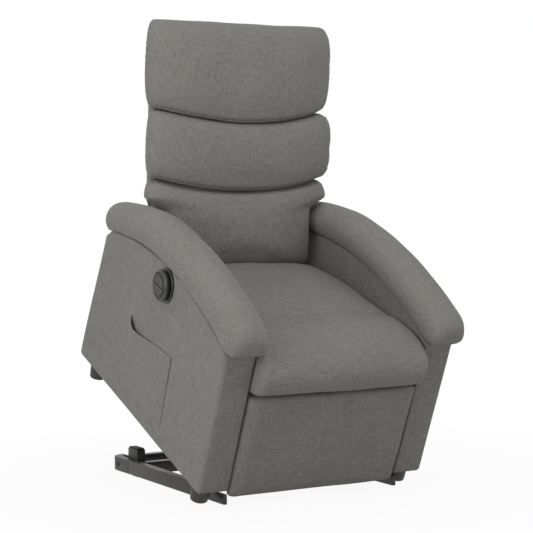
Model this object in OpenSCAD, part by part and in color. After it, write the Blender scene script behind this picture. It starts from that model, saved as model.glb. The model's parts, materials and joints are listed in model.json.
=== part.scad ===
/* [Seat] */
// Clear width between the two arms
seat_w = 540; // [500:5:600]
// Height of the seat cushion's top at the front, above the floor
seat_top = 484; // [478:1:494]
// Depth of the seat cushion from the nose to the back cushion
seat_depth = 692; // [660:2:694]
// How much higher the seat cushion is at its middle than at its sides
seat_crown = 16; // [0:1:20]
// Gap that keeps a cushion clear of each arm
cushion_gap = 3; // [2:0.5:6]

/* [Arms] */
// Thickness of each arm panel
arm_t = 94; // [84:1:104]
// How far the arm panels reach behind the recline hinge
arm_tail = 165; // [150:1:190]
// Height of an arm panel's front edge, under the roll
arm_front_top = 477; // [470:1:490]
// Height of an arm panel's rear edge, under the roll
arm_rear_top = 492; // [480:1:495]
// Rise of the arched seam under the roll
arm_arch = 70; // [60:1:74]
// Width of the padded roll on top of an arm
roll_w = 124; // [114:1:130]
// Height of the padded roll
roll_h = 98; // [84:1:102]
// Height of the arm panels' lower edge above the floor, seat down
foot_h = 48; // [48:1:56]
// Radius of a foot at the floor
foot_r = 25; // [15:1:26]

/* [Back] */
// Length of the backrest above its hinge
back_h = 745; // [735:1:790]
// Angle of the upright backrest behind the vertical
back_rake = 17.3; // [14:0.1:20]
// How far the widest back cushion reaches past the seat's width on each side
back_over = 40; // [30:1:54]
// Height of the seam between the head and the middle cushion, above the hinge
upper_seam = 484; // [460:1:510]
// Height of the seam between the middle and the lumbar cushion, above the hinge
lower_seam = 279; // [265:1:300]
// How far the seams between the cushions sag at the middle
seam_smile = 34; // [0:1:40]
// How far the back cushions stand in front of the frame at the middle
back_crown = 135; // [100:1:150]
// Thickness of the padded rear cover behind the frame
cover_t = 14; // [8:1:20]

/* [Footrest] */
// Height of the footrest panel
footrest_h = 310; // [270:1:310]
// Thickness of the footrest board
footrest_board_t = 15; // [9:1:16]
// Length of the rear links of the footrest
rear_link_l = 228; // [200:1:230]
// Length of the front links of the footrest
front_link_l = 223; // [200:1:223]

/* [Lift] */
// Angle that the seat is raised to
lift_angle = 22; // [16:0.5:22]
// Depth of the floor frame, from the front brackets to the rear corners
base_depth = 742; // [720:2:760]
// Height of the floor frame's tubes
rail_h = 40; // [30:1:42]
// Width of the floor frame's side tubes
rail_w = 26; // [20:1:26]
// Wall of the floor frame's tubes
tube_wall = 2; // [1.5:0.1:3]
// Radius of the lift hinge pins
hinge_pin_r = 8; // [6:0.5:8]
// Thickness of the lift frame's side plates
plate_t = 4; // [3:0.5:4]
// Radius of the actuator's rod
rod_r = 10; // [8:0.5:11]

/* [Control and pocket] */
// Radius of the round hand control
control_r = 45; // [38:1:45]
// How far the hand control stands out of its plate
control_h = 18; // [14:1:24]
// Travel of each control button
button_travel = 2; // [1:0.1:2.5]
// Width of the side pocket
pocket_w = 280; // [240:5:300]
// Height of the side pocket
pocket_h = 222; // [160:2:230]
// Depth of the side pocket
pocket_d = 13; // [12:1:30]

/* [Hidden] */

// The chair is drawn with its seat down, Y running from the front to the rear and Z from the floor.
// Distance from that drawing's front to the middle of the raised chair
row_shift = 330;
clear = 0.05;
$fn = 48;

seat_x = seat_w / 2;
arm_x = seat_x + arm_t;
cushion_x = seat_x - cushion_gap;
back_w = seat_w + 2 * back_over;

// Depth of the seat: the cushion's nose and rear, and the recline hinge behind it
nose_front = -48;
seat_rear_y = nose_front + seat_depth;
hinge_behind = 71;
recline_y = seat_rear_y + hinge_behind;
recline_z = 400;

// Arm panel
arm_front_y = 12;
arm_front_lean = 12;
arm_rear_lean = 64;
arm_rear_y = recline_y + arm_tail;
arm_top_front = [arm_front_y - arm_front_lean, arm_front_top];
arm_top_rear = [arm_rear_y - arm_rear_lean, arm_rear_top];
roll_flat = 42;
roll_x = seat_x + arm_t / 2 - 2;
roll_inner = roll_x - roll_w / 2;
roll_gap = 3;
notch_t = 18;
notch_rear = 76;
notch_front = 24;

// Lift hinge and floor frame
hinge_y = 60;
hinge_z = 110;
pad_t = 2;
rail_in = seat_x - 5;
rail_out = rail_in + rail_w;
bracket_x = seat_x + 1;
bracket_t = 11;
bracket_front = hinge_y - 16;
bracket_h = 30;
rail_front = 160;
base_rear = bracket_front + base_depth;
corner_l = 141;
corner_front = base_rear - corner_l;
elbow_r = 46;
bolt_set = 12;
bar_w = 30;
bar_h = 36;
bar_ahead = 35;
mid_bar_y = corner_front - bar_ahead;
rear_bar_y = base_rear - bar_w;
post_front = corner_front - 5;
post_l = 65;
post_t = 28;
post_top = 74;
post_pad_t = 4;

// Seat frame
plate_x = seat_x - plate_t;
plate_low = 79;
plate_high = 300;
crosstube_y = post_front + post_l - bar_w - 3;
crosstube_low = post_top + post_pad_t + 1;
ear_set = 7;
plate_rear = max(crosstube_y + bar_w + 6, recline_y - ear_set);
rail_t = 18;
seat_rail_x = plate_x - rail_t;
seat_rail_low = 250;
board_t = 12;
seat_low = 350;
board_low = seat_low - board_t;
seat_rail_front = 42;
front_rail_y = 96;
rear_rail_y = plate_rear - rail_t;
spring_t = 4;
crossbar_y = 165;
crossbar_low = 262;

// Recline hinge
recline_pin_r = 6;
recline_ear_r = 20;
ear_foot = 75;
ear_rise = 20;
back_bracket_t = 4;
back_bracket_x = roll_inner - roll_gap - back_bracket_t;
back_bracket_r = 18;
back_bracket_l = 170;
back_rail_t = 22;
back_rail_x = back_bracket_x - back_rail_t;
frame_back = -20;
frame_front = 18;
back_low = 12;
wide_low = 210;
cover_wall = 7;
lumbar_foot = 51;
rear_tuck = 34;
neck_x = seat_x - 20;
lower_seam_out = 115;
upper_seam_out = 121;
crossrail_h = 38;
frame_top = back_h - 25;

// Actuator: the motor turns on the floor frame and the rod's eye hangs on the seat frame
motor_y = mid_bar_y + bar_w / 2;
motor_z = 80;
eye_y = 180;
eye_z = 235;
eye_pin_r = 6;
eye_slack = 4.5;
housing_w = 66;
housing_h = 56;
housing_front = 130;
clevis_gap = 3;
clevis_t = 6;
gear_w = 60;
gear_t = 22;
can_r = 26;
can_l = 78;
rod_stop = 60;
tube_r = 18;
rod_out = 116;
rod_tail = 181;

// Footrest links, from the wall inwards
link_t = 5;
link_r = 12;
rear_pivot = [80, 95];
knee = [rear_pivot[0], rear_pivot[1] + rear_link_l];
ankle = [knee[0], knee[1] - front_link_l];
stub_r = 8;
link_pin_r = 6;
link_cross = [20, 120];
link_cross_r = 7;
tab_h = 20;
layer_gap = 3;
rear_link_x = seat_rail_x - 2 * link_t;
front_link_x = rear_link_x - link_t - layer_gap;
toe_x = front_link_x - link_t - layer_gap;
footrest_low = 37;
board_front = 20;

// Hand control and pocket, on the right arm's outer face
control_y = 385;
control_z = 505;
plate_stand = 6;
button_stand = 1.5;
button_t = 6;
button_r = control_r * 0.62;
button_gap = 2;
pocket_front = 283;
pocket_low = 108;
cloth_t = 3;
pocket_seam = 7;

// The seated point q, turned by the lift and set in the row's frame
function turned(q, angle) = [q[0] * cos(angle) - q[1] * sin(angle), q[0] * sin(angle) + q[1] * cos(angle)];
function lifted(q) = [hinge_y, hinge_z] + turned(q - [hinge_y, hinge_z], lift_angle);
eye_lifted = lifted([eye_y, eye_z]) - [motor_y, motor_z];
eye_reach = norm(eye_lifted);
tube_end = eye_reach - rod_out;
motor_tilt = asin(eye_lifted[1] / eye_reach);

module on_base() {
    translate([0, -row_shift, 0]) children();
}

module on_chair() {
    on_base() translate([0, hinge_y, hinge_z]) rotate([lift_angle, 0, 0])
        translate([0, -hinge_y, -hinge_z]) children();
}

// Local frame of the backrest: Z runs up the back from the hinge and -Y points forwards
module on_back() {
    on_chair() translate([0, recline_y, recline_z]) rotate([-back_rake, 0, 0]) children();
}

// Local frame of the actuator: -Y points from the motor pin to the rod's eye
module on_motor() {
    on_base() translate([0, motor_y, motor_z]) rotate([-motor_tilt, 0, 0]) children();
}

module both_sides() {
    children();
    mirror([1, 0, 0]) children();
}

module box(low, high) {
    translate(low) cube(high - low);
}

// Round bar along X, from x0 to x1 at the point at = [y, z]
module bar_x(at, r, x0, x1) {
    translate([x0, at[0], at[1]]) rotate([0, 90, 0]) cylinder(h = x1 - x0, r = r);
}

// Flat link between the points p and q = [y, z] with round ends
module link(p, q, r, x0, t) {
    run = q - p;
    bar_x(p, r, x0, x0 + t);
    bar_x(q, r, x0, x0 + t);
    translate([x0, p[0], p[1]]) rotate([atan2(run[1], run[0]), 0, 0])
        translate([0, 0, -r]) cube([t, norm(run), 2 * r]);
}

// Hollow rectangular tube along Y
module tube_y(low, high, wall) {
    difference() {
        box(low, high);
        box(low + [wall, -1, wall], high + [-wall, 1, -wall]);
    }
}

// Points of the circular arc from a to b whose middle stands sag away from the chord
function arc_radius(a, b, sag) = (pow(norm(b - a) / 2, 2) + sag * sag) / (2 * sag);
function arc_point(a, b, sag, f, out = 0) =
    let (
        r = arc_radius(a, b, sag),
        half = asin(norm(b - a) / 2 / r),
        t = (2 * f - 1) * half,
        along = (b - a) / norm(b - a),
        up = [-along[1], along[0]],
        middle = (a + b) / 2 + up * (sag - r)
    )
    middle + along * (r + out) * sin(t) + up * (r + out) * cos(t);

// Surface through rings of equal point count, closed by a fan at each end
module loft(rings) {
    n = len(rings);
    m = len(rings[0]);
    function middle(ring) = [for (k = [0:2]) [for (p = ring) p[k]] * [for (p = ring) 1 / m]];
    points = concat([for (ring = rings, p = ring) p], [middle(rings[0])], [middle(rings[n - 1])]);
    faces = concat(
        [for (i = [0:n - 2], j = [0:m - 1]) [i * m + j, i * m + (j + 1) % m, (i + 1) * m + (j + 1) % m]],
        [for (i = [0:n - 2], j = [0:m - 1]) [i * m + j, (i + 1) * m + (j + 1) % m, (i + 1) * m + j]],
        [for (j = [0:m - 1]) [n * m, (j + 1) % m, j]],
        [for (j = [0:m - 1]) [n * m + 1, (n - 1) * m + j, (n - 1) * m + (j + 1) % m]]
    );
    polyhedron(points, faces, convexity = 4);
}

// Outline of a rounded square from -1 to 1, with the given number of points a side
function square_point(i, side) =
    let (k = floor(i / side), f = 2 * (i % side) / side - 1)
    k == 0 ? [f, -1] : k == 1 ? [1, f] : k == 2 ? [-f, 1] : [-1, -f];
function square_side(side, power) =
    [for (i = [0:4 * side - 1])
        let (p = square_point(i, side))
        p / pow(pow(abs(p[0]), power) + pow(abs(p[1]), power), 1 / power)];

// ---- Floor frame ----

module base_rail() {
    tube_y([rail_in, rail_front, pad_t], [rail_out, corner_front, pad_t + rail_h], tube_wall);
}

module base_rail_right() {
    color("#3f3c38") mirror([1, 0, 0]) on_base() base_rail();
}

module base_rail_left() {
    color("#3f3c38") on_base() base_rail();
}

// Elbows that join the side tubes to the rear crossbar
module base_corners() {
    elbow = [rail_out - elbow_r, base_rear - elbow_r, pad_t];
    color("#3a3733") on_base() both_sides() difference() {
        union() {
            box([rail_in, corner_front, pad_t], [rail_out, elbow[1], pad_t + rail_h]);
            intersection() {
                difference() {
                    translate(elbow) cylinder(h = rail_h, r = elbow_r);
                    translate([elbow[0], elbow[1], 0]) cylinder(h = rail_h + 2 * pad_t, r = elbow_r - rail_w);
                }
                box([elbow[0], elbow[1], 0], [rail_out, base_rear, rail_h + 2 * pad_t]);
            }
        }
        bar_x([elbow[1] - bolt_set, pad_t + rail_h / 2], 4.2, rail_out - 12, rail_out + 1);
    }
}

module corner_bolts() {
    bolt_at = [base_rear - elbow_r - bolt_set, pad_t + rail_h / 2];
    color("#8d8d8a") on_base() both_sides() {
        bar_x(bolt_at, 4, rail_out - 10, rail_out + 0.5);
        bar_x(bolt_at, 7, rail_out, rail_out + 3);
    }
}

// Middle and rear tubes across the floor frame
module base_crossbars() {
    color("#151413") on_base() {
        box([-rail_in, mid_bar_y, pad_t], [rail_in, mid_bar_y + bar_w, pad_t + bar_h]);
        box([elbow_r - rail_out, rear_bar_y, pad_t], [rail_out - elbow_r, base_rear, pad_t + bar_h]);
    }
}

// Hinge brackets: a low foot, a slanted arm up to the hinge pin and a plate against the side tube
module hinge_brackets() {
    top = [hinge_y, hinge_z];
    foot = [hinge_y + 62, 20];
    side = [top[1] - foot[1], foot[0] - top[0]] * 12 / norm(top - foot);
    color("#151413") on_base() both_sides() difference() {
        union() {
            box([bracket_x, bracket_front, pad_t], [bracket_x + bracket_t, rail_front - 4, bracket_h]);
            box([rail_in, rail_front - 4, pad_t], [rail_out, rail_front, pad_t + rail_h]);
            translate([bracket_x, 0, 0]) rotate([90, 0, 90]) linear_extrude(bracket_t)
                polygon([top - side, foot - side, foot + side, top + side]);
            bar_x(top, hinge_pin_r + 8, bracket_x, bracket_x + bracket_t);
        }
        bar_x(top, hinge_pin_r + clear, bracket_x - 1, bracket_x + bracket_t + 1);
    }
}

// Posts that carry the rear of the seat frame when the seat is down
module rest_posts() {
    color("#111010") on_base() both_sides()
        box([rail_in - post_t, post_front, pad_t], [rail_in, post_front + post_l, post_top]);
}

module post_pads() {
    color("#1c1c1c") on_base() both_sides()
        box([rail_in - post_t + 2, post_front + 3, post_top],
            [rail_in - 2, post_front + post_l - 3, post_top + post_pad_t]);
}

module floor_pads() {
    color("#1c1c1c") on_base() both_sides() for (y = [rail_front + 30, corner_front - 60, base_rear - 90])
        box([rail_in + 3, y, 0], [rail_out - 3, y + 40, pad_t]);
}

module motor_clevis() {
    inner = housing_w / 2 + clevis_gap;
    color("#151413") on_base() both_sides() difference() {
        union() {
            box([inner, mid_bar_y, pad_t + bar_h], [inner + clevis_t, mid_bar_y + bar_w, motor_z]);
            bar_x([motor_y, motor_z], bar_w / 2, inner, inner + clevis_t);
        }
        bar_x([motor_y, motor_z], eye_pin_r, inner - 1, inner + clevis_t + 1);
    }
}

module motor_pin() {
    reach = housing_w / 2 + clevis_gap + clevis_t;
    color("#a9aaa8") on_base() {
        bar_x([motor_y, motor_z], eye_pin_r, -reach, reach);
        both_sides() bar_x([motor_y, motor_z], eye_pin_r + 3, reach, reach + 4);
    }
}

// ---- Seat frame ----

// Steel side plate with the lift hinge's and the footrest's bores
module side_plate() {
    difference() {
        union() {
            box([plate_x, rear_pivot[0], plate_low], [plate_x + plate_t, plate_rear, plate_high]);
            bar_x([hinge_y, hinge_z], hinge_pin_r + 10, plate_x, plate_x + plate_t);
            bar_x(rear_pivot, stub_r + 8, plate_x, plate_x + plate_t);
        }
        bar_x([hinge_y, hinge_z], hinge_pin_r, plate_x - 1, plate_x + plate_t + 1);
        bar_x(rear_pivot, stub_r + clear, plate_x - 1, plate_x + plate_t + 1);
    }
}

module side_plate_right() {
    color("#232221") on_chair() mirror([1, 0, 0]) side_plate();
}

module side_plate_left() {
    color("#232221") on_chair() side_plate();
}

module hinge_pins() {
    at = [hinge_y, hinge_z];
    tip = bracket_x + bracket_t + 1;
    color("#a9aaa8") on_chair() both_sides() {
        bar_x(at, hinge_pin_r, plate_x - 1, tip + 0.5);
        bar_x(at, hinge_pin_r + 3, plate_x - 5, plate_x);
        bar_x(at, hinge_pin_r + 3, tip, tip + 4);
    }
}

module seat_rail() {
    box([seat_rail_x, seat_rail_front, seat_rail_low], [plate_x, plate_rear, board_low]);
}

module seat_rail_right() {
    color("#b58e5f") on_chair() mirror([1, 0, 0]) seat_rail();
}

module seat_rail_left() {
    color("#b58e5f") on_chair() seat_rail();
}

module seat_crossrails() {
    color("#b58e5f") on_chair() {
        box([-seat_rail_x, front_rail_y, seat_rail_low + 20], [seat_rail_x, front_rail_y + rail_t, board_low]);
        box([-seat_rail_x, rear_rail_y, seat_rail_low], [seat_rail_x, rear_rail_y + rail_t, seat_low - spring_t]);
    }
}

// Board under the nose of the seat cushion
module nose_board() {
    color("#b58e5f") on_chair()
        box([-plate_x, board_front + 6, board_low], [plate_x, front_rail_y + rail_t, seat_low]);
}

// Flat zigzag wire springs in a plane, running along Y from y0 to y1, centred on x
module zigzag(x, y0, y1, swing, wire, t) {
    turns = floor((y1 - y0) / 48);
    steps = turns * 6;
    function wave(i) = x + swing * sin(i * 60);
    function place(i) = y0 + (y1 - y0) * i / steps;
    linear_extrude(t) polygon(concat(
        [for (i = [0:steps]) [wave(i) - wire, place(i)]],
        [for (i = [steps:-1:0]) [wave(i) + wire, place(i)]]
    ));
}

// Seat springs under the cushion, from the nose board's edge to the rear rail
module seat_springs() {
    spacing = seat_w / 6;
    color("#77787a") on_chair() for (k = [-2:2])
        translate([0, 0, seat_low - spring_t])
            zigzag(k * spacing, front_rail_y + rail_t, rear_rail_y + rail_t, 20, 4, spring_t);
}

// Tube across the seat frame that the actuator's rod pushes
module drive_crossbar() {
    inner = 12;
    color("#232221") on_chair() difference() {
        union() {
            box([-seat_rail_x, crossbar_y, crossbar_low], [seat_rail_x, crossbar_y + bar_w, crossbar_low + bar_w]);
            both_sides() {
                box([inner, crossbar_y, eye_z], [inner + 5, crossbar_y + bar_w, crossbar_low]);
                bar_x([eye_y, eye_z], bar_w / 2, inner, inner + 5);
            }
        }
        bar_x([eye_y, eye_z], eye_pin_r, -inner - 6, inner + 6);
    }
}

module rod_pin() {
    color("#a9aaa8") on_chair() {
        bar_x([eye_y, eye_z], eye_pin_r, -17, 17);
        both_sides() bar_x([eye_y, eye_z], eye_pin_r + 3, 17, 20);
    }
}

module rear_crosstube() {
    color("#232221") on_chair()
        box([-plate_x, crosstube_y, crosstube_low], [plate_x, crosstube_y + bar_w, crosstube_low + bar_w]);
}

module recline_brackets() {
    at = [recline_y, recline_z];
    color("#232221") on_chair() both_sides() difference() {
        union() {
            box([plate_x, recline_y - ear_foot, plate_high], [seat_x, recline_y - ear_set, board_low + ear_rise]);
            box([plate_x, recline_y - recline_ear_r, plate_high + ear_rise],
                [seat_x, recline_y + recline_ear_r, recline_z]);
            bar_x(at, recline_ear_r, plate_x, seat_x);
        }
        bar_x(at, recline_pin_r, plate_x - 1, seat_x + 1);
    }
}

module recline_pins() {
    at = [recline_y, recline_z];
    inner = back_bracket_x;
    color("#a9aaa8") on_chair() both_sides() bar_x(at, recline_pin_r, inner, seat_x);
}

// Upholstered panel that closes the rear between the arms
module rear_panel() {
    color("#6f6e6b") on_chair()
        box([-seat_x, arm_rear_y - 24, foot_h + 12], [seat_x, arm_rear_y - 10, recline_z - 2]);
}

module feet() {
    foot_x = arm_x - 39;
    color("#3f3c38") on_chair() both_sides() for (y = [arm_front_y + 56, arm_rear_y - 74])
        translate([foot_x, y, 1]) cylinder(h = foot_h - 1, r1 = foot_r, r2 = foot_r + 2);
}

// ---- Seat cushion ----

// Side view of the seat cushion, starting under the nose and running over the top to the rear
nose_back = 107;
nose_r = 38;
nose_mid_z = 412;
nose_low = 360;
valley_y = 184;
valley_half = 18;
valley_drop = 11;
seat_rear_top = seat_top - 50;

function ellipse_point(c, a, b, t, power = 2) =
    c + [a * sign(cos(t)) * pow(abs(cos(t)), 2 / power), b * sign(sin(t)) * pow(abs(sin(t)), 2 / power)];

function seat_side() = concat(
    [for (t = [260:-16:196]) ellipse_point([nose_front + nose_r, nose_mid_z], nose_r, nose_mid_z - nose_low, t)],
    [for (t = [180:-11.25:90]) ellipse_point([nose_back, nose_mid_z], nose_back - nose_front, seat_top + 3 - nose_mid_z, t, 2.3)],
    [[valley_y - valley_half, seat_top - 3], [valley_y, seat_top - valley_drop]],
    [[valley_y + valley_half, seat_top - valley_drop + 3]],
    [for (f = [0:0.2:1]) arc_point([valley_y + 50, seat_top - 9], [seat_rear_y - 20, seat_rear_top], 10, f)],
    [[seat_rear_y - 5, seat_rear_top - 8], [seat_rear_y, seat_rear_top - 24], [seat_rear_y, seat_low]],
    [[(seat_rear_y + front_rail_y) / 2, seat_low], [front_rail_y, seat_low], [board_front + 7, seat_low]]
);

// The loop moved along its own normals: out by swell where it faces up or forwards, in by inset
function moved_loop(loop, swell, inset) =
    let (n = len(loop))
    [for (i = [0:n - 1])
        let (
            along = loop[(i + 1) % n] - loop[(i + n - 1) % n],
            normal = [-along[1], along[0]] / norm(along),
            lift = max(0, normal[1]) + 0.5 * max(0, -normal[0])
        )
        loop[i] + normal * (swell * lift - inset)];

module seat_cushion() {
    soft = 26;
    loop = seat_side();
    function across(f) = cushion_x * sin(90 * f);
    function drawn(x) = soft * (1 - sqrt(1 - pow(max(0, (abs(x) - cushion_x + soft) / soft), 2)));
    color("#74736f") on_chair() loft([
        for (f = [-1:0.125:1])
            let (x = across(f), side = moved_loop(loop, seat_crown * (1 - pow(x / cushion_x, 2)), drawn(x)))
            [for (q = side) [x, q[0], max(seat_low, q[1])]]
    ]);
}

// ---- Arms ----

module arm_panel() {
    steps = 20;
    outline = concat(
        [[arm_front_y, foot_h], [arm_rear_y, foot_h]],
        [for (i = [steps:-1:0]) arc_point(arm_top_front, arm_top_rear, arm_arch, i / steps)]
    );
    difference() {
        translate([seat_x, 0, 0]) rotate([90, 0, 90]) linear_extrude(arm_t) polygon(outline);
        box([seat_x - 1, hinge_y - notch_front, foot_h - 1],
            [seat_x + notch_t, hinge_y + notch_rear, hinge_z + notch_front]);
    }
}

module arm_panel_right() {
    color("#7c7b77") on_chair() mirror([1, 0, 0]) arm_panel();
}

module arm_panel_left() {
    color("#7c7b77") on_chair() arm_panel();
}

// Padded roll: a flattened oval carried along the arched seam, with rounded ends
module arm_roll() {
    side = 6;
    oval = square_side(side, 3);
    high = roll_h - roll_flat;
    past = 27;
    arc_l = norm(arm_top_rear - arm_top_front);
    f0 = -past / arc_l;
    f1 = 1 + 8 / arc_l;
    ends = 58 / arc_l;
    function swell(f) =
        let (near = min(f - f0, f1 - f) / ends)
        near >= 1 ? 1 : sqrt(max(0.02, 1 - pow(1 - near, 2)));
    tip = [0.004, 0.02, 0.05];
    stations = concat(tip, [for (k = [0.09:0.0586:0.92]) k], [for (k = [2:-1:0]) 1 - tip[k]]);
    loft([
        for (k = stations)
            let (f = f0 + (f1 - f0) * k, s = swell(f))
            [for (p = oval)
                let (
                    rise = max(-roll_flat, (p[1] > 0 ? high : roll_flat + 8) * p[1]) * s,
                    q = arc_point(arm_top_front, arm_top_rear, arm_arch, f, roll_flat + 0.4 + rise)
                )
                [roll_x - p[0] * roll_w / 2 * (0.5 + 0.5 * s), q[0], q[1]]]
    ]);
}

module arm_roll_right() {
    color("#7c7b77") on_chair() mirror([1, 0, 0]) arm_roll();
}

module arm_roll_left() {
    color("#7c7b77") on_chair() arm_roll();
}

// Cloth sheet sewn down along its two sides and its lower edge, open at the top
module side_pocket() {
    rear = pocket_front + pocket_w;
    high = pocket_low + pocket_h;
    out = arm_x + pocket_d;
    color("#75746f") on_chair() mirror([1, 0, 0]) {
        box([out, pocket_front, pocket_low], [out + cloth_t, rear, high]);
        box([arm_x, pocket_front, pocket_low], [out, pocket_front + pocket_seam, high]);
        box([arm_x, rear - pocket_seam, pocket_low], [out, rear, high]);
        box([arm_x, pocket_front + pocket_seam, pocket_low], [out, rear - pocket_seam, pocket_low + pocket_seam]);
    }
}

// ---- Hand control ----

module control_plate() {
    r = control_r + 1;
    color("#2c2d2c") on_chair() {
        bar_x([control_y, control_z - 5], r, -arm_x - plate_stand, -arm_x);
        bar_x([control_y, control_z + 5], r, -arm_x - plate_stand, -arm_x);
        box([-arm_x - plate_stand, control_y - r, control_z - 5], [-arm_x, control_y + r, control_z + 5]);
    }
}

puck_face = -arm_x - plate_stand - control_h;
button_floor = puck_face + button_t - button_stand + button_travel + 0.5;

module control_puck() {
    at = [control_y, control_z];
    color("#3a3b39") on_chair() difference() {
        union() {
            bar_x(at, control_r, puck_face + 3, -arm_x - plate_stand);
            bar_x(at, control_r - 3, puck_face, puck_face + 4);
        }
        difference() {
            bar_x(at, button_r + 0.5, puck_face - 1, button_floor);
            box([puck_face - 2, control_y - control_r, control_z - button_gap + 0.5],
                [button_floor + 1, control_y + control_r, control_z + button_gap - 0.5]);
        }
    }
}

// Half of a disc, on the side that up = 1 or -1 gives
module button(up) {
    face = puck_face - button_stand;
    low = up > 0 ? button_gap : -button_r - 1;
    color("#2b2c2b") on_chair() intersection() {
        bar_x([control_y, control_z], button_r, face, face + button_t);
        box([face - 1, control_y - button_r - 1, control_z + low],
            [face + button_t + 1, control_y + button_r + 1, control_z + low + button_r + 1 - button_gap]);
    }
}

module button_up() {
    button(1);
}

module button_down() {
    button(-1);
}

// ---- Backrest ----

module back_rails() {
    color("#b58e5f") on_back() both_sides()
        box([back_rail_x, -frame_front, back_low], [back_bracket_x, -frame_back, frame_top]);
}

// The middle one stands back, behind the springs
module back_crossrails() {
    top = frame_top - crossrail_h;
    color("#b58e5f") on_back() for (u = [back_low, (back_low + top) / 2, top])
        box([-back_rail_x, u > back_low && u < top ? spring_t + 1 - frame_front : -frame_front, u],
            [back_rail_x, -frame_back, u + crossrail_h]);
}

module back_brackets() {
    inner = back_bracket_x;
    color("#232221") on_back() both_sides() difference() {
        union() {
            bar_x([0, 0], back_bracket_r, inner, inner + back_bracket_t);
            box([inner, -back_bracket_r, 0], [inner + back_bracket_t, back_bracket_r, back_bracket_l]);
        }
        bar_x([0, 0], recline_pin_r + clear, inner - 1, inner + back_bracket_t + 1);
    }
}

module back_springs() {
    spacing = back_rail_x / 2.5;
    color("#77787a") on_back() for (k = [-2:2])
        rotate([90, 0, 0]) translate([0, 0, frame_front - spring_t])
            zigzag(k * spacing, back_low + crossrail_h, frame_top - crossrail_h, 18, 4, spring_t);
}

// Slab with round corners between the points low and high, standing on edge
module slab(low, high, r) {
    t = high[1] - low[1];
    box([low[0] + r, low[1], low[2]], [high[0] - r, high[1], high[2]]);
    box([low[0], low[1], low[2] + r], [high[0], high[1], high[2] - r]);
    for (x = [low[0] + r, high[0] - r], z = [low[2] + r, high[2] - r])
        translate([x, high[1], z]) rotate([90, 0, 0]) cylinder(h = t, r = r);
}

// Padded tray behind the frame: wide above the arms, narrow between them
module back_cover() {
    inside = back_bracket_x + back_bracket_t;
    half = inside + cover_wall;
    rear = -frame_back + cover_t;
    color("#6a6966") on_back() difference() {
        union() {
            slab([-half, -frame_front, wide_low], [half, rear, back_h - 4], 26);
            box([-neck_x, -frame_back, back_low], [neck_x, rear, wide_low + 60]);
        }
        box([-inside, -frame_front - 1, -1], [inside, -frame_back, frame_top + 1]);
    }
}

// One back cushion between the heights lo and hi above the hinge, built up of level rings.
// edge gives how far its lower and upper edge stand forwards at the middle, crown the same halfway up.
// smile gives the sag of the two edges, and rim how far the widest line stands forwards.
module back_cushion(lo, hi, rim, crown, edge, smile, waist = 1) {
    levels = [0, 0.012, 0.05, 0.12, 0.24, 0.4, 0.6, 0.745, 0.76, 0.88, 0.95, 0.988, 1];
    steps = 20;
    behind = frame_front + 1;
    seam_half = back_w / 2 - 38;
    function full(f) = pow(1 - pow(abs(2 * f - 1), 3), 1 / 3);
    function half(f) =
        let (u = lo + (hi - lo) * f, wide = seam_half + 34 * full(f))
        u > wide_low + 4 ? wide : min(wide, waist * back_w / 2);
    function tuck(f) = half(f) > neck_x + rear_tuck ? rear_tuck : 6;
    function turn(f) = behind + 0.45 * (46 + (rim - 46) * full(f) - behind);
    function level(x, f) =
        lo + (hi - lo) * f - (smile[0] + (smile[1] - smile[0]) * f) * max(0, 1 - pow(x / seam_half, 2));
    function front(x, f) =
        let (s = min(1, abs(x)), middle = edge[0] + (edge[1] - edge[0]) * f)
        let (side = 46 + (rim - 46) * full(f), top = middle + (crown - middle) * full(f))
        side + (top - side) * pow(1 - pow(s, 2.5), 1 / 2.5);
    function ring(f) = concat(
        [for (i = [0:steps])
            let (x = -cos(180 * i / steps))
            [half(f) * x, -front(x, f), level(half(f) * x, f)]],
        [[half(f) - tuck(f) / 4, -turn(f), level(half(f), f)]],
        [for (x = [1, 0.5, 0, -0.5, -1])
            [(half(f) - tuck(f)) * x, -behind, level((half(f) - tuck(f)) * x, f)]],
        [[tuck(f) / 4 - half(f), -turn(f), level(half(f), f)]]
    );
    on_back() loft([for (f = levels) ring(f)]);
}

module lumbar_cushion() {
    color("#7a7975") back_cushion(back_low + 4, lower_seam - 0.5, 80, back_crown + 8,
        [lumbar_foot, lower_seam_out],
        [0, seam_smile], 2 * neck_x / back_w);
}

module middle_cushion() {
    color("#7a7975") back_cushion(lower_seam + 0.5, upper_seam - 0.5, 92, back_crown + 12,
        [lower_seam_out, upper_seam_out], [seam_smile, seam_smile]);
}

module head_cushion() {
    color("#7a7975") back_cushion(upper_seam + 0.5, back_h, 68, back_crown + 16, [upper_seam_out, 62],
        [seam_smile, 0]);
}

// ---- Footrest ----

module rear_links() {
    x = rear_link_x;
    color("#2a2928") on_chair() both_sides() difference() {
        union() {
            link(rear_pivot, knee, link_r, x, link_t);
            bar_x(rear_pivot, stub_r, x + link_t, seat_x);
            translate([x, rear_pivot[0], rear_pivot[1] + link_cross[1] - tab_h / 2])
                cube([link_t, link_cross[0] + link_cross_r - 1, tab_h]);
        }
        bar_x(knee, link_pin_r, x - 1, x + link_t + 1);
    }
}

module link_crosstube() {
    color("#2a2928") on_chair() bar_x(rear_pivot + link_cross, link_cross_r, -rear_link_x, rear_link_x);
}

module link_pins() {
    color("#a9aaa8") on_chair() both_sides() {
        bar_x(knee, link_pin_r, front_link_x - 1, rear_link_x + link_t);
        bar_x(knee, link_pin_r + 2.5, front_link_x - 2.5, front_link_x - 0.5);
    }
}

module front_links() {
    x = front_link_x;
    color("#2a2928") on_chair() both_sides() difference() {
        link(ankle, knee, link_r, x, link_t);
        bar_x(knee, link_pin_r + clear, x - 1, x + link_t + 1);
        bar_x(ankle, link_pin_r, x - 1, x + link_t + 1);
    }
}

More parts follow.
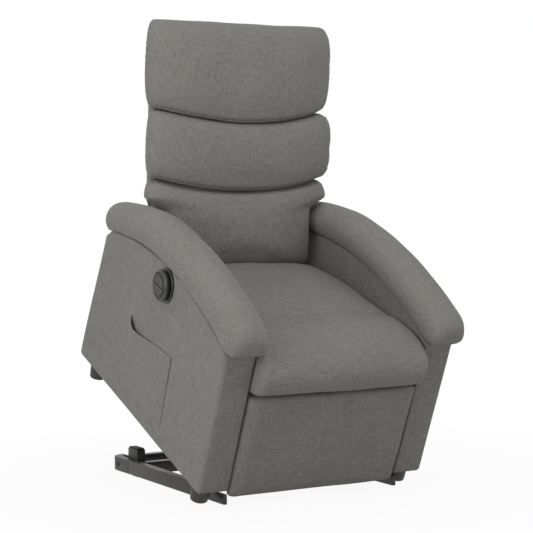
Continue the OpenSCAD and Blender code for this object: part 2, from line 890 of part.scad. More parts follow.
module panel_pins() {
    color("#a9aaa8") on_chair() both_sides() {
        bar_x(ankle, link_pin_r, toe_x - 1, front_link_x + link_t);
        bar_x(ankle, link_pin_r + 2.5, toe_x - 2.5, toe_x - 0.5);
    }
}

module footrest_brackets() {
    back = board_front + footrest_board_t;
    color("#2a2928") on_chair() both_sides() difference() {
        union() {
            bar_x(ankle, link_r, toe_x, toe_x + link_t);
            box([toe_x, back, ankle[1] - link_r], [toe_x + link_t, ankle[0], ankle[1] + link_r]);
            box([toe_x, back, footrest_low + 20], [toe_x + link_t, back + 14, footrest_low + footrest_h - 60]);
        }
        bar_x(ankle, link_pin_r + clear, toe_x - 1, toe_x + link_t + 1);
    }
}

module footrest_board() {
    color("#b58e5f") on_chair()
        box([-cushion_x + 10, board_front, footrest_low + 4],
            [cushion_x - 10, board_front + footrest_board_t, footrest_low + footrest_h - 20]);
}

// Padded front of the footrest, leaning forwards towards its top
module footrest_pad() {
    outline = square_side(8, 9);
    face_top = -14;
    face_low = 8;
    function face(f) = face_low + (face_top - face_low) * f;
    function spot(p, r, d) =
        let (f = (p[1] * r + 1) / 2, front = face(f))
        [(cushion_x - 1) * p[0] * r, board_front - (board_front - front) * d, footrest_low + footrest_h * f];
    rings = [[0.5, 1], [0.82, 0.985], [0.93, 0.92], [0.98, 0.78], [1, 0.55], [0.995, 0.2], [0.98, 0], [0.5, 0]];
    color("#74736f") on_chair() loft([for (k = rings) [for (p = outline) spot(p, k[0], k[1])]]);
}

// ---- Actuator ----

module motor_housing() {
    half = housing_w / 2;
    color("#262626") on_motor() difference() {
        union() {
            box([-half, -housing_front, -housing_h / 2], [half, 0, housing_h / 2]);
            bar_x([0, 0], 20, -half, half);
            box([half, -housing_front, -housing_h / 2], [half + gear_w, -housing_front + gear_t, housing_h / 2]);
        }
        bar_x([0, 0], eye_pin_r + clear, -half - 1, half + 1);
        translate([0, -rod_stop, 0]) rotate([90, 0, 0]) cylinder(h = housing_front, r = rod_r + clear);
    }
}

module motor_can() {
    color("#1b1b1b") on_motor() translate([(housing_w + gear_w) / 2, gear_t - housing_front, 0])
        rotate([-90, 0, 0]) cylinder(h = can_l, r = can_r);
}

module lift_tube() {
    color("#9a9b99") on_motor() translate([0, -housing_front, 0]) rotate([90, 0, 0]) difference() {
        cylinder(h = tube_end - housing_front, r = tube_r);
        translate([0, 0, -1]) cylinder(h = tube_end - housing_front + 2, r = rod_r + clear);
    }
}

module lift_rod() {
    eye_r = eye_pin_r + eye_slack + 6;
    color("#c3c4c2") on_motor() difference() {
        union() {
            translate([0, -eye_reach + eye_r - 2, 0]) rotate([-90, 0, 0])
                cylinder(h = eye_reach - eye_r + 2 - rod_tail, r = rod_r);
            bar_x([-eye_reach, 0], eye_r, -10, 10);
        }
        bar_x([-eye_reach, 0], eye_pin_r + eye_slack, -11, 11);
    }
}

base_rail_right();
base_rail_left();
base_corners();
base_crossbars();
hinge_brackets();
rest_posts();
post_pads();
floor_pads();
corner_bolts();
motor_clevis();
motor_pin();
side_plate_right();
side_plate_left();
hinge_pins();
seat_rail_right();
seat_rail_left();
seat_crossrails();
nose_board();
seat_springs();
drive_crossbar();
rod_pin();
rear_crosstube();
recline_brackets();
recline_pins();
rear_panel();
seat_cushion();
arm_panel_right();
arm_panel_left();
arm_roll_right();
arm_roll_left();
side_pocket();
control_plate();
control_puck();
feet();
button_up();
button_down();
back_rails();
back_crossrails();
back_brackets();
back_springs();
back_cover();
lumbar_cushion();
middle_cushion();
head_cushion();
rear_links();
link_crosstube();
link_pins();
front_links();
panel_pins();
footrest_brackets();
footrest_board();
footrest_pad();
motor_housing();
motor_can();
lift_tube();
lift_rod();
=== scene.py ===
"""Looks of a lift recliner chair: upholstery, frame, springs, lift drive and hand control, with its studio."""

import json
import math

import bmesh
import bpy
import numpy as np
from mathutils import Matrix, Vector


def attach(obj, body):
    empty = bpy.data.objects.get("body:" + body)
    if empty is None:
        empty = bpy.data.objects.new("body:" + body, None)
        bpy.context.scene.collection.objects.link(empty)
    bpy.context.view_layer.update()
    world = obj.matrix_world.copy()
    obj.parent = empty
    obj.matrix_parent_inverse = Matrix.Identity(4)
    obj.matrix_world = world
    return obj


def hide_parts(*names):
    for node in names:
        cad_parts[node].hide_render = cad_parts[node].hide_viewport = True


bl_info = {
    "name": "Lift recliner chair",
    "version": (1, 0, 0),
    "blender": (4, 5, 0),
    "location": "View3D > Sidebar > Recliner",
    "description": "Upholsters and finishes a lift recliner chair on its fixed frame",
    "category": "Object",
}

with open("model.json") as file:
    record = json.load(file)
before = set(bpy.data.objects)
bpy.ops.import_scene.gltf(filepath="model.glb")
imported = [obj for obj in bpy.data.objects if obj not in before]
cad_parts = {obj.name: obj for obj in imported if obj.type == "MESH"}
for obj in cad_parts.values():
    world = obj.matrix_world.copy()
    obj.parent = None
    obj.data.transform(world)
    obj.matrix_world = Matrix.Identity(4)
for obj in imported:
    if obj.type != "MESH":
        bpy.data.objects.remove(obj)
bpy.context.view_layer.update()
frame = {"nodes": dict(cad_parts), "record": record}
SIDES = {"right": -1, "left": 1}


# ---- Places: the seated chair and its backrest, set in the row's frame ----


def joint(name):
    """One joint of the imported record."""
    return next(j for j in frame["record"]["behaviour"]["joints"] if j["name"] == name)


LIFT_ANGLE = -math.radians(joint("lift_hinge")["range_deg"][0])
LIFT_HINGE = Vector(joint("lift_hinge")["pos_m"])
RECLINE_HINGE = Vector(joint("backrest_recline")["pos_m"])
SEATED_HINGE = Vector((0, 0.060, 0.110))
BACK_RAKE = math.radians(17.3)

# Seated chair: Y runs from the front to the rear and Z from the floor.
CHAIR = Matrix.Translation(LIFT_HINGE) @ Matrix.Rotation(LIFT_ANGLE, 4, "X") @ Matrix.Translation(-SEATED_HINGE)
# Backrest: Z runs up the back from its hinge and -Y points forwards.
BACK = Matrix.Translation(RECLINE_HINGE) @ Matrix.Rotation(LIFT_ANGLE - BACK_RAKE, 4, "X")


def inside_box(node, place):
    """Lowest and highest corner of a CAD node, measured along the axes of place."""
    cad = frame["nodes"][node]
    points = cloud(cad) @ np.array(place.inverted().to_3x3()).T + np.array(place.inverted().translation)
    return points.min(axis=0), points.max(axis=0)


# ---- Mesh helpers ----


def cloud(piece):
    """The vertices of a mesh object as an array."""
    points = np.empty(len(piece.data.vertices) * 3)
    piece.data.vertices.foreach_get("co", points)
    return points.reshape(-1, 3)


def set_cloud(piece, points):
    piece.data.vertices.foreach_set("co", np.ascontiguousarray(points, float).ravel())
    piece.data.update()


def normals(piece):
    out = np.empty(len(piece.data.vertices) * 3)
    piece.data.vertex_normals.foreach_get("vector", out)
    return out.reshape(-1, 3)


def mesh_piece(name, points, faces, material):
    """A new mesh object at the origin, with its faces turned outwards."""
    mesh = bpy.data.meshes.new(name)
    mesh.from_pydata([tuple(p) for p in points], [], faces)
    net = bmesh.new()
    net.from_mesh(mesh)
    bmesh.ops.remove_doubles(net, verts=net.verts, dist=1e-6)
    bmesh.ops.recalc_face_normals(net, faces=net.faces)
    net.to_mesh(mesh)
    net.free()
    mesh.shade_smooth()
    piece = bpy.data.objects.new(name, mesh)
    bpy.context.scene.collection.objects.link(piece)
    piece.data.materials.append(material)
    return piece


def loft(name, rings, material, closed=True):
    """A closed skin through rings of equal count, with a fan at each end."""
    rings = [np.asarray(r, float) for r in rings]
    count = len(rings[0])
    points = np.vstack([*rings, rings[0].mean(axis=0), rings[-1].mean(axis=0)])
    faces = []
    for i in range(len(rings) - 1):
        for j in range(count):
            k = (j + 1) % count
            faces.append((i * count + j, i * count + k, (i + 1) * count + k, (i + 1) * count + j))
    first, last = len(rings) * count, len(rings) * count + 1
    if closed:
        for j in range(count):
            k = (j + 1) % count
            faces.append((first, k, j))
            faces.append((last, (len(rings) - 1) * count + j, (len(rings) - 1) * count + k))
    return mesh_piece(name, points, faces, material)


def evenly(loop, spacing, smoothing=0, closed=True):
    """The loop redrawn with even steps, after rounding its corners by a few passes."""
    loop = np.asarray(loop, float)
    fine = walk(loop, spacing / 3, closed)
    for _ in range(smoothing):
        before, after = np.roll(fine, 1, axis=0), np.roll(fine, -1, axis=0)
        if closed:
            fine = (before + 2 * fine + after) / 4
        else:
            fine[1:-1] = ((before + 2 * fine + after) / 4)[1:-1]
    return walk(fine, spacing, closed)


def walk(loop, spacing, closed):
    """Points at even steps along a polyline."""
    path = np.vstack([loop, loop[:1]]) if closed else loop
    run = np.concatenate([[0], np.cumsum(np.linalg.norm(np.diff(path, axis=0), axis=1))])
    count = max(3, int(round(run[-1] / spacing)))
    at = np.linspace(0, run[-1], count + 1)
    if closed:
        at = at[:-1]
    return np.column_stack([np.interp(at, run, path[:, k]) for k in range(path.shape[1])])


def fixed_count(loop, count):
    """A closed loop redrawn with a given number of even steps."""
    path = np.vstack([loop, loop[:1]])
    run = np.concatenate([[0], np.cumsum(np.linalg.norm(np.diff(path, axis=0), axis=1))])
    at = np.linspace(0, run[-1], count + 1)[:-1]
    return np.column_stack([np.interp(at, run, path[:, k]) for k in range(path.shape[1])])


def bake_modifiers(piece):
    """The piece's mesh with its modifiers applied, which are then removed."""
    bpy.context.view_layer.update()
    graph = bpy.context.evaluated_depsgraph_get()
    mesh = bpy.data.meshes.new_from_object(piece.evaluated_get(graph), preserve_all_data_layers=True,
                                           depsgraph=graph)
    piece.modifiers.clear()
    old = piece.data
    piece.data = mesh
    bpy.data.meshes.remove(old)
    mesh.name = piece.name
    return piece


def modifier(piece, kind, **settings):
    """Adds a modifier with its settings."""
    made = piece.modifiers.new(kind.title(), kind)
    for key, value in settings.items():
        setattr(made, key, value)
    return made


def place(piece, matrix):
    """Moves the mesh from its own drawing into the row's frame, with the object left at the origin."""
    piece.data.transform(matrix)
    piece.data.update()
    return piece


def mirrored(side):
    """Matrix for the chair's right or left side of a piece that is drawn on the left."""
    return CHAIR @ Matrix.Diagonal((SIDES[side], 1, 1, 1))


def turn_out(piece):
    """Turns every face outwards again, after a mirrored placement."""
    net = bmesh.new()
    net.from_mesh(piece.data)
    bmesh.ops.recalc_face_normals(net, faces=net.faces)
    net.to_mesh(piece.data)
    net.free()
    return piece


def finish(piece, body, slot, *nodes):
    """Rides the piece on its body and hides the CAD nodes it stands for."""
    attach(piece, body)
    if nodes:
        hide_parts(*nodes)
    return piece


def smooth_step(low, high, value):
    t = np.clip((value - low) / (high - low), 0, 1)
    return t * t * (3 - 2 * t)


def inflate(piece, voxel, pressure, cap, held, frames=20):
    """Remeshes a cushion, blows it up as sewn cloth and keeps each point within cap of where it was.

    held(points, normals) gives how firmly each point is sewn down, from 0 to 1."""
    modifier(piece, "REMESH", mode="VOXEL", voxel_size=voxel, use_smooth_shade=True)
    bake_modifiers(piece)
    rest = cloud(piece)
    if pressure > 0:
        firm = np.clip(held(rest, normals(piece)), 0, 1)
        sewn = piece.vertex_groups.new(name="sewn")
        for level in range(1, 11):
            chosen = np.flatnonzero(np.round(firm * 10) == level)
            sewn.add([int(i) for i in chosen], level / 10, "REPLACE")
        cloth = modifier(piece, "CLOTH")
        cloth.settings.quality = 5
        cloth.settings.mass = 0.3
        cloth.settings.tension_stiffness = 15
        cloth.settings.compression_stiffness = 15
        cloth.settings.shear_stiffness = 5
        cloth.settings.bending_stiffness = 0.5
        cloth.settings.use_pressure = True
        cloth.settings.uniform_pressure_force = pressure
        cloth.settings.effector_weights.gravity = 0
        cloth.settings.vertex_group_mass = "sewn"
        cloth.settings.pin_stiffness = 1
        cloth.collision_settings.use_collision = False
        scene = bpy.context.scene
        for number in range(1, frames + 1):
            scene.frame_set(number)
        graph = bpy.context.evaluated_depsgraph_get()
        swollen = cloud_of_mesh(piece.evaluated_get(graph).to_mesh())
        piece.evaluated_get(graph).to_mesh_clear()
        piece.modifiers.clear()
        scene.frame_set(1)
        move = swollen - rest
        length = np.linalg.norm(move, axis=1, keepdims=True)
        limit = cap * np.tanh(length / cap)
        set_cloud(piece, rest + move * limit / np.maximum(length, 1e-9))
        piece.vertex_groups.clear()
    modifier(piece, "SUBSURF", levels=1, render_levels=1)
    bake_modifiers(piece)
    piece.data.shade_smooth()
    return piece


def cloud_of_mesh(mesh):
    points = np.empty(len(mesh.vertices) * 3)
    mesh.vertices.foreach_get("co", points)
    return points.reshape(-1, 3)


def carve(piece, depth):
    """Sinks each point along its normal by depth(points, normals), in metres."""
    points, out = cloud(piece), normals(piece)
    set_cloud(piece, points - out * depth(points, out)[:, None])
    return piece


def undulate(points, seed, size, height):
    """Slow waves over a soft surface: the sum of a few seeded sines."""
    rng = np.random.default_rng(seed)
    total = np.zeros(len(points))
    for _ in range(9):
        direction = rng.normal(size=3)
        direction /= np.linalg.norm(direction)
        wave = size * rng.uniform(0.6, 1.5)
        total += np.sin(points @ direction * 2 * math.pi / wave + rng.uniform(0, 6.28))
    return total / 3 * height


def gathers(points, starts, seed, count, spread, length, width, height):
    """Puckers that fan out from sewn points: each is a fold with a ridge on both sides.

    starts holds (point, direction, up) with up the normal of the surface there."""
    rng = np.random.default_rng(seed)
    total = np.zeros(len(points))
    for start, direction, up in starts:
        start, direction, up = (np.asarray(v, float) for v in (start, direction, up))
        across = np.cross(up, direction)
        for k in range(count):
            turn = spread * ((k + 0.5) / count - 0.5) * 2 + rng.uniform(-0.12, 0.12)
            along = direction * math.cos(turn) + across * math.sin(turn)
            side = np.cross(up, along)
            reach = length * rng.uniform(0.55, 1.15)
            base = start + across * rng.uniform(-0.3, 0.3) * reach
            t = (points - base) @ along / reach
            bend = rng.uniform(-0.12, 0.12) * reach
            n = ((points - base) @ side - bend * t * t) / (width * (0.6 + 0.9 * np.clip(t, 0, 1)))
            near = np.exp(-(((points - base) @ up) / 0.05) ** 2)
            shape = (1 - 1.6 * n * n) * np.exp(-n * n)
            strength = height * rng.uniform(0.5, 1.2)
            total += strength * shape * near * smooth_step(-0.08, 0.06, t) * (1 - smooth_step(0.35, 1, t))
    return total


# ---- Materials ----


def linear(hex_colour, alpha=1.0):
    """sRGB hex to the linear values that Blender takes."""
    parts = [int(hex_colour.lstrip("#")[i:i + 2], 16) / 255 for i in (0, 2, 4)]
    return (*[c / 12.92 if c <= 0.04045 else ((c + 0.055) / 1.055) ** 2.4 for c in parts], alpha)


def add(tree, kind, inputs=None, **settings):
    """Adds a node with its settings; an input is a value or another node's socket."""
    node = tree.nodes.new(kind)
    for key, value in settings.items():
        setattr(node, key, value)
    for key, value in (inputs or {}).items():
        if isinstance(value, bpy.types.NodeSocket):
            tree.links.new(value, node.inputs[key])
        else:
            node.inputs[key].default_value = value
    return node


def new_material(name, **values):
    """A material with one Principled shader, whose even values are set on its own sockets."""
    material = bpy.data.materials.new(name)
    material.use_nodes = True
    tree = material.node_tree
    shader = tree.nodes["Principled BSDF"]
    for key, value in values.items():
        shader.inputs[key.replace("_", " ").title().replace("Ior", "IOR")].default_value = value
    return material, tree, shader


def ramp(tree, factor, stops):
    """A colour ramp from (position, hex) stops."""
    node = add(tree, "ShaderNodeValToRGB", {"Fac": factor})
    elements = node.color_ramp.elements
    while len(elements) < len(stops):
        elements.new(0.5)
    for element, (position, colour) in zip(elements, stops):
        element.position = position
        element.color = linear(colour)
    return node.outputs["Color"]


def streaks(tree, coords, scale, detail=2.0, seed=0.0):
    """Noise drawn out along one axis: scale is features a metre along X, Y and Z."""
    apart = (seed, seed * 1.7, seed * 2.3)
    moved = add(tree, "ShaderNodeMapping", {"Vector": coords, "Scale": scale, "Location": apart})
    noise = add(tree, "ShaderNodeTexNoise", {"Vector": moved.outputs[0], "Scale": 1.0, "Detail": detail})
    return noise.outputs["Fac"]


def woven_polyester(name, tilt, slub_dark, slub_light):
    """Linen-look woven polyester: piece-dyed slub yarn, which gives a matt surface with fine crossed
    streaks, lighter and darker by a few per cent, and a faint halo of fibres at grazing angles."""
    material, tree, shader = new_material(name, roughness=0.93, sheen_weight=0.18, sheen_roughness=0.6,
                                          specular_ior_level=0.25)
    shader.inputs["Sheen Tint"].default_value = linear("#b9b8b4")
    place_in = add(tree, "ShaderNodeTexCoord")
    straight = add(tree, "ShaderNodeMapping", {"Vector": place_in.outputs["Object"], "Rotation": (-tilt, 0, 0)})
    facing = add(tree, "ShaderNodeMapping", {"Vector": place_in.outputs["Normal"], "Rotation": (-tilt, 0, 0)})
    coords = straight.outputs[0]
    # Slubs: thick places in the yarn, about 28 mm long, drawn a little wider than they are so that they show.
    long_way, wide_way = 36.0, 560.0
    thread = {}
    for axis, scale in (("X", (long_way, wide_way, wide_way)), ("Y", (wide_way, long_way, wide_way)),
                        ("Z", (wide_way, wide_way, long_way))):
        thread[axis] = streaks(tree, coords, scale, 3.0, seed=ord(axis) * 0.37)
    yarns = add(tree, "ShaderNodeCombineXYZ", thread)
    square = add(tree, "ShaderNodeVectorMath", {0: facing.outputs[0], 1: facing.outputs[0]},
                 operation="MULTIPLY")
    shown = add(tree, "ShaderNodeVectorMath", {0: (1, 1, 1), 1: square.outputs[0]}, operation="SUBTRACT")
    slubs = add(tree, "ShaderNodeVectorMath", {0: yarns.outputs[0], 1: shown.outputs[0]},
                operation="DOT_PRODUCT")
    even = add(tree, "ShaderNodeMapRange", {"Value": slubs.outputs["Value"], "From Min": 0.78,
                                            "From Max": 1.22})
    # Thread crossings 1.3 mm apart, drawn about twice as coarse as the cloth's own so that they show close by.
    weave = streaks(tree, coords, (760, 760, 760), 1.0, seed=4.0)
    # Slow shade change of a cloth that has been pulled over foam.
    cloud_shade = streaks(tree, coords, (7, 7, 7), 2.0, seed=9.0)
    fine = add(tree, "ShaderNodeMath", {0: weave, 1: 0.27}, operation="MULTIPLY")
    slow = add(tree, "ShaderNodeMath", {0: cloud_shade, 1: 0.14}, operation="MULTIPLY")
    part = add(tree, "ShaderNodeMath", {0: even.outputs[0], 1: 0.44}, operation="MULTIPLY")
    total = add(tree, "ShaderNodeMath", {0: fine.outputs[0], 1: slow.outputs[0]}, operation="ADD")
    total = add(tree, "ShaderNodeMath", {0: total.outputs[0], 1: part.outputs[0]}, operation="ADD")
    colour = ramp(tree, total.outputs[0], [(0.16, slub_dark), (0.69, slub_light)])
    tree.links.new(colour, shader.inputs["Base Color"])
    relief = add(tree, "ShaderNodeBump", {"Strength": 0.20, "Distance": 0.0005, "Height": even.outputs[0]})
    relief = add(tree, "ShaderNodeBump", {"Strength": 0.22, "Distance": 0.0004, "Height": weave,
                                          "Normal": relief.outputs[0]})
    tree.links.new(relief.outputs[0], shader.inputs["Normal"])
    return material


def broken_gloss(tree, shader, factor, low, high):
    """Lets the roughness wander between low and high."""
    shine = add(tree, "ShaderNodeMapRange", {"Value": factor, "To Min": low, "To Max": high})
    tree.links.new(shine.outputs[0], shader.inputs["Roughness"])


def powder_coat(name, colour, worn, roughness):
    """Powder-coated steel tube: a thick baked coat with orange peel a few millimetres across, satin,
    and a little dust that lightens it in patches."""
    material, tree, shader = new_material(name, roughness=roughness, specular_ior_level=0.45)
    coords = add(tree, "ShaderNodeTexCoord").outputs["Object"]
    dust = streaks(tree, coords, (22, 22, 22), 4.0, seed=2.0)
    tree.links.new(ramp(tree, dust, [(0.35, colour), (0.8, worn)]), shader.inputs["Base Color"])
    peel = streaks(tree, coords, (420, 420, 420), 1.0, seed=5.0)
    bump = add(tree, "ShaderNodeBump", {"Strength": 0.12, "Distance": 0.0004, "Height": peel})
    tree.links.new(bump.outputs[0], shader.inputs["Normal"])
    broken_gloss(tree, shader, dust, roughness - 0.06, roughness + 0.14)
    return material


def moulded_plastic(name, colour, lighter, roughness, grain=900.0):
    """Injection-moulded ABS or polypropylene: a fine spark-eroded grain that breaks up the highlight."""
    material, tree, shader = new_material(name, roughness=roughness, ior=1.53)
    coords = add(tree, "ShaderNodeTexCoord").outputs["Object"]
    patch = streaks(tree, coords, (30, 30, 30), 2.0, seed=1.0)
    tree.links.new(ramp(tree, patch, [(0.3, colour), (0.85, lighter)]), shader.inputs["Base Color"])
    eroded = streaks(tree, coords, (grain, grain, grain), 2.0, seed=3.0)
    bump = add(tree, "ShaderNodeBump", {"Strength": 0.16, "Distance": 0.0003, "Height": eroded})
    tree.links.new(bump.outputs[0], shader.inputs["Normal"])
    broken_gloss(tree, shader, eroded, roughness - 0.05, roughness + 0.08)
    return material


def bare_metal(name, colour, darker, roughness, drawn=(900.0, 60.0, 900.0)):
    """Drawn or plated metal: fine lines left by the die along its length, with a soft broken gloss."""
    material, tree, shader = new_material(name, roughness=roughness, metallic=1.0)
    coords = add(tree, "ShaderNodeTexCoord").outputs["Object"]
    lines = streaks(tree, coords, drawn, 2.0, seed=6.0)
    tree.links.new(ramp(tree, lines, [(0.3, darker), (0.7, colour)]), shader.inputs["Base Color"])
    broken_gloss(tree, shader, lines, roughness - 0.06, roughness + 0.10)
    bump = add(tree, "ShaderNodeBump", {"Strength": 0.06, "Distance": 0.0002, "Height": lines})
    tree.links.new(bump.outputs[0], shader.inputs["Normal"])
    return material


def birch_plywood(name):
    """Unfinished birch plywood: pale veneers with long soft grain, and plies 1.5 mm thick along the edges."""
    material, tree, shader = new_material(name, roughness=0.72, specular_ior_level=0.3)
    coords = add(tree, "ShaderNodeTexCoord").outputs["Object"]
    straight = add(tree, "ShaderNodeMapping", {"Vector": coords, "Rotation": (-LIFT_ANGLE, 0, 0)}).outputs[0]
    grain = streaks(tree, straight, (9, 160, 160), 4.0, seed=8.0)
    plies = add(tree, "ShaderNodeTexWave",
                {"Vector": straight, "Scale": 105.0, "Distortion": 0.4, "Detail": 1.0}, bands_direction="Z")
    mixed = add(tree, "ShaderNodeMath", {0: plies.outputs["Fac"], 1: 0.16}, operation="MULTIPLY")
    total = add(tree, "ShaderNodeMath", {0: grain, 1: mixed.outputs[0]}, operation="ADD")
    veneer = ramp(tree, total.outputs[0], [(0.34, "#a07a4c"), (0.75, "#cba777")])
    tree.links.new(veneer, shader.inputs["Base Color"])
    bump = add(tree, "ShaderNodeBump", {"Strength": 0.15, "Distance": 0.0004, "Height": grain})
    tree.links.new(bump.outputs[0], shader.inputs["Normal"])
    return material


def nitrile_rubber(name):
    """Moulded black rubber: matt, with a fine dusty bloom."""
    return moulded_plastic(name, "#171717", "#2a2a29", 0.82, grain=600.0)


def thread_and_painted_shadow(name, dark, light):
    """Bonded polyester thread, three plies twisted: a small hard shine along each stitch. Also gives the charcoal
    strip that is painted shade in the pocket's seam.
    """
    material, tree, shader = new_material(name, roughness=0.55, sheen_weight=0.1)
    coords = add(tree, "ShaderNodeTexCoord").outputs["Object"]
    plies = streaks(tree, coords, (1500, 1500, 1500), 1.0, seed=7.0)
    tree.links.new(ramp(tree, plies, [(0.3, dark), (0.7, light)]), shader.inputs["Base Color"])
    bump = add(tree, "ShaderNodeBump", {"Strength": 0.3, "Distance": 0.0002, "Height": plies})
    tree.links.new(bump.outputs[0], shader.inputs["Normal"])
    return material


MATERIALS = {}


def material(name):
    """Each finish is made once, the first time that a piece asks for it."""
    if name not in MATERIALS:
        colours = bpy.context.scene.recliner_fabric
        makers = {
            "seat cloth": lambda: woven_polyester("Woven polyester, linen look, seat", LIFT_ANGLE,
                                                  colours.slub_dark, colours.slub_light),
            "back cloth": lambda: woven_polyester("Woven polyester, linen look, back", LIFT_ANGLE - BACK_RAKE,
                                                  colours.slub_dark, colours.slub_light),
            "thread": lambda: thread_and_painted_shadow("Bonded polyester thread", "#565552", "#7d7c78"),
            # Charcoal strip in the pocket's front seam: painted shade that stands in for the fold's shadow.
            "painted seam shadow": lambda: thread_and_painted_shadow("Painted seam shadow strip, charcoal", "#1c1b1a", "#2b2a28"),
            "plywood": lambda: birch_plywood("Birch plywood, unfinished"),
            "brown steel": lambda: powder_coat("Powder-coated steel, brown grey", "#221e1a", "#332d28", 0.46),
            "black steel": lambda: powder_coat("Powder-coated steel, black", "#0d0d0c", "#1d1c1b", 0.40),
            "brown plastic": lambda: moulded_plastic("Moulded polypropylene, brown grey",
                                                     "#211d1a", "#302b26", 0.5),
            "black plastic": lambda: moulded_plastic("Moulded ABS, black", "#1a1b1a", "#252625", 0.42),
            "charcoal plastic": lambda: moulded_plastic("Moulded ABS, charcoal", "#222321", "#2d2e2c", 0.38),
            "motor plastic": lambda: moulded_plastic("Glass-filled nylon, black", "#1b1b1b", "#292929", 0.55,
                                                     500.0),
            "rubber": lambda: nitrile_rubber("Nitrile rubber, black"),
            "zinc": lambda: bare_metal("Zinc-plated steel", "#b4b5b4", "#8f9090", 0.34, (300.0, 300.0, 300.0)),
            "spring wire": lambda: bare_metal("Hard-drawn spring wire", "#8a8a8c", "#5e5e60", 0.4),
            "aluminium": lambda: bare_metal("Drawn aluminium tube", "#b0b0ae", "#949492", 0.32,
                                            (900.0, 30.0, 900.0)),
            "chrome": lambda: bare_metal("Hard chrome plating", "#d4d5d5", "#c2c3c3", 0.10),
        }
        MATERIALS[name] = makers[name]()
    return MATERIALS[name]


# ---- Settings that a user would change ----


def length(name, description, default):
    return bpy.props.FloatProperty(name=name, description=description, default=default, unit="LENGTH",
                                   precision=4)


def hex_colour(name, description, default):
    return bpy.props.StringProperty(name=name, description=description, default=default)


class ReclinerFabric(bpy.types.PropertyGroup):
    slub_dark: hex_colour("Dark yarn", "Darkest shade of the cloth's yarn", "#656460")
    slub_light: hex_colour("Light yarn", "Lightest shade of the cloth's yarn", "#84837f")
    voxel: length("Cloth mesh", "Spacing of the mesh that the cushions are blown up with", 0.0062)
    pressure: bpy.props.FloatProperty(name="Filling", description="Pressure of the filling", default=4.0)


class ReclinerBack(bpy.types.PropertyGroup):
    height: length("Height", "Length of the backrest above its hinge", 0.745)
    half_width: length("Half width", "Half of the widest back cushion", 0.307)
    upper_seam: length("Upper seam", "Height of the seam under the head cushion", 0.484)
    lower_seam: length("Lower seam", "Height of the seam under the middle cushion", 0.279)
    smile: length("Seam sag", "How far the seams sag at the middle", 0.035)
    neck: length("Neck", "Half width of the lumbar cushion between the arms", 0.250)


class ReclinerSeat(bpy.types.PropertyGroup):
    half_width: length("Half width", "Half of the seat cushion", 0.267)
    top: length("Height", "Height of the cushion's top at its front", 0.484)
    valley: length("Cross seam", "Distance of the cross seam from the front", 0.184)
    crown: length("Crown", "How much higher the middle is than the sides", 0.016)


class ReclinerArms(bpy.types.PropertyGroup):
    inner: length("Inner face", "Distance of an arm's inner face from the middle", 0.270)
    outer: length("Outer face", "Distance of an arm's outer face from the middle", 0.3642)
    arch: length("Arch", "Rise of the seam under the roll", 0.070)
    roll_height: length("Roll height", "Height of the roll over its seam", 0.1015)


class ReclinerControl(bpy.types.PropertyGroup):
    radius: length("Radius", "Radius of the round hand control", 0.045)
    along: length("Along the arm", "Distance of the control from the front", 0.385)
    height: length("Height", "Height of the control, seat down", 0.505)
    outer: length("Arm face", "Distance of the face that it is set in from the middle", 0.3644)


GROUPS = {
    "recliner_fabric": ReclinerFabric,
    "recliner_back": ReclinerBack,
    "recliner_seat": ReclinerSeat,
    "recliner_arms": ReclinerArms,
    "recliner_control": ReclinerControl,
}


# ---- Soft pieces ----


def fullness(f, power=3.0):
    """0 at both edges of a cushion and 1 through its middle."""
    return (1 - abs(2 * f - 1) ** power) ** (1 / power)


def back_cushion(name, low, high, rim, crown, edges, smiles, neck, cloth):
    """One back cushion: level rings between the heights low and high, sagging towards the middle of its seams.

    edges are how far its lower and upper edge stand forwards at the middle, crown the same halfway up."""
    sizes = bpy.context.scene.recliner_back
    behind = 0.019
    side_edge = 0.046
    pull_in = 0.034
    seam_half = sizes.half_width - pull_in
    neck_half = sizes.neck
    wide_from = 0.213
    tuck = 0.034

    def half_at(f):
        height = low + (high - low) * f
        wide = seam_half + pull_in * fullness(f)
        if neck is None:
            return wide
        return neck + (wide - neck) * smooth_step(wide_from - 0.015, wide_from + 0.013, height)

    def level(x, f):
        sag = smiles[0] + (smiles[1] - smiles[0]) * f
        return low + (high - low) * f - sag * np.maximum(0, 1 - (x / seam_half) ** 2)

    def ring(f):
        across = np.linspace(0, math.pi, 97)
        x = -np.cos(across)
        middle = edges[0] + (edges[1] - edges[0]) * f
        side = side_edge + (rim - side_edge) * fullness(f)
        top = middle + (crown - middle) * fullness(f)
        out = side + (top - side) * (1 - np.abs(x) ** 2.5) ** (1 / 2.5)
        half = half_at(f)
        front = np.column_stack([half * x, -out, level(half * x, f)])
        tucked = tuck * float(smooth_step(neck_half + 0.004, neck_half + 0.030, half)) + 0.005
        round_the_side = np.radians(np.linspace(8, 90, 9))
        side_x = half - tucked * (1 - np.cos(round_the_side))
        side_y = -behind - (side - behind) * (1 - np.sin(round_the_side))
        rear_x = np.linspace(0.985, -0.985, 37) * (half - tucked)
        rear = np.column_stack([rear_x, np.full(37, -behind), level(rear_x, f)])
        right = np.column_stack([side_x, side_y, level(side_x, f)])
        left = np.column_stack([-side_x, side_y, level(side_x, f)])[::-1]
        return fixed_count(np.vstack([front, right, rear, left]), 170)

    steps = 0.5 - 0.5 * np.cos(np.linspace(0.04, math.pi - 0.04, 44))
    return loft(name, [ring(f) for f in steps], cloth)


def cushion_pins(low, high, smile):
    """The back and the sewn edges of a back cushion are held; its front is free to swell."""

    def held(points, out):
        behind = smooth_step(-0.035, -0.022, points[:, 1])
        sag = smile * np.maximum(0, 1 - (points[:, 0] / 0.28) ** 2)
        edge = np.minimum(points[:, 2] - low + sag, high - points[:, 2] - sag)
        return np.maximum(behind, 1 - smooth_step(0.004, 0.016, edge))

    return held


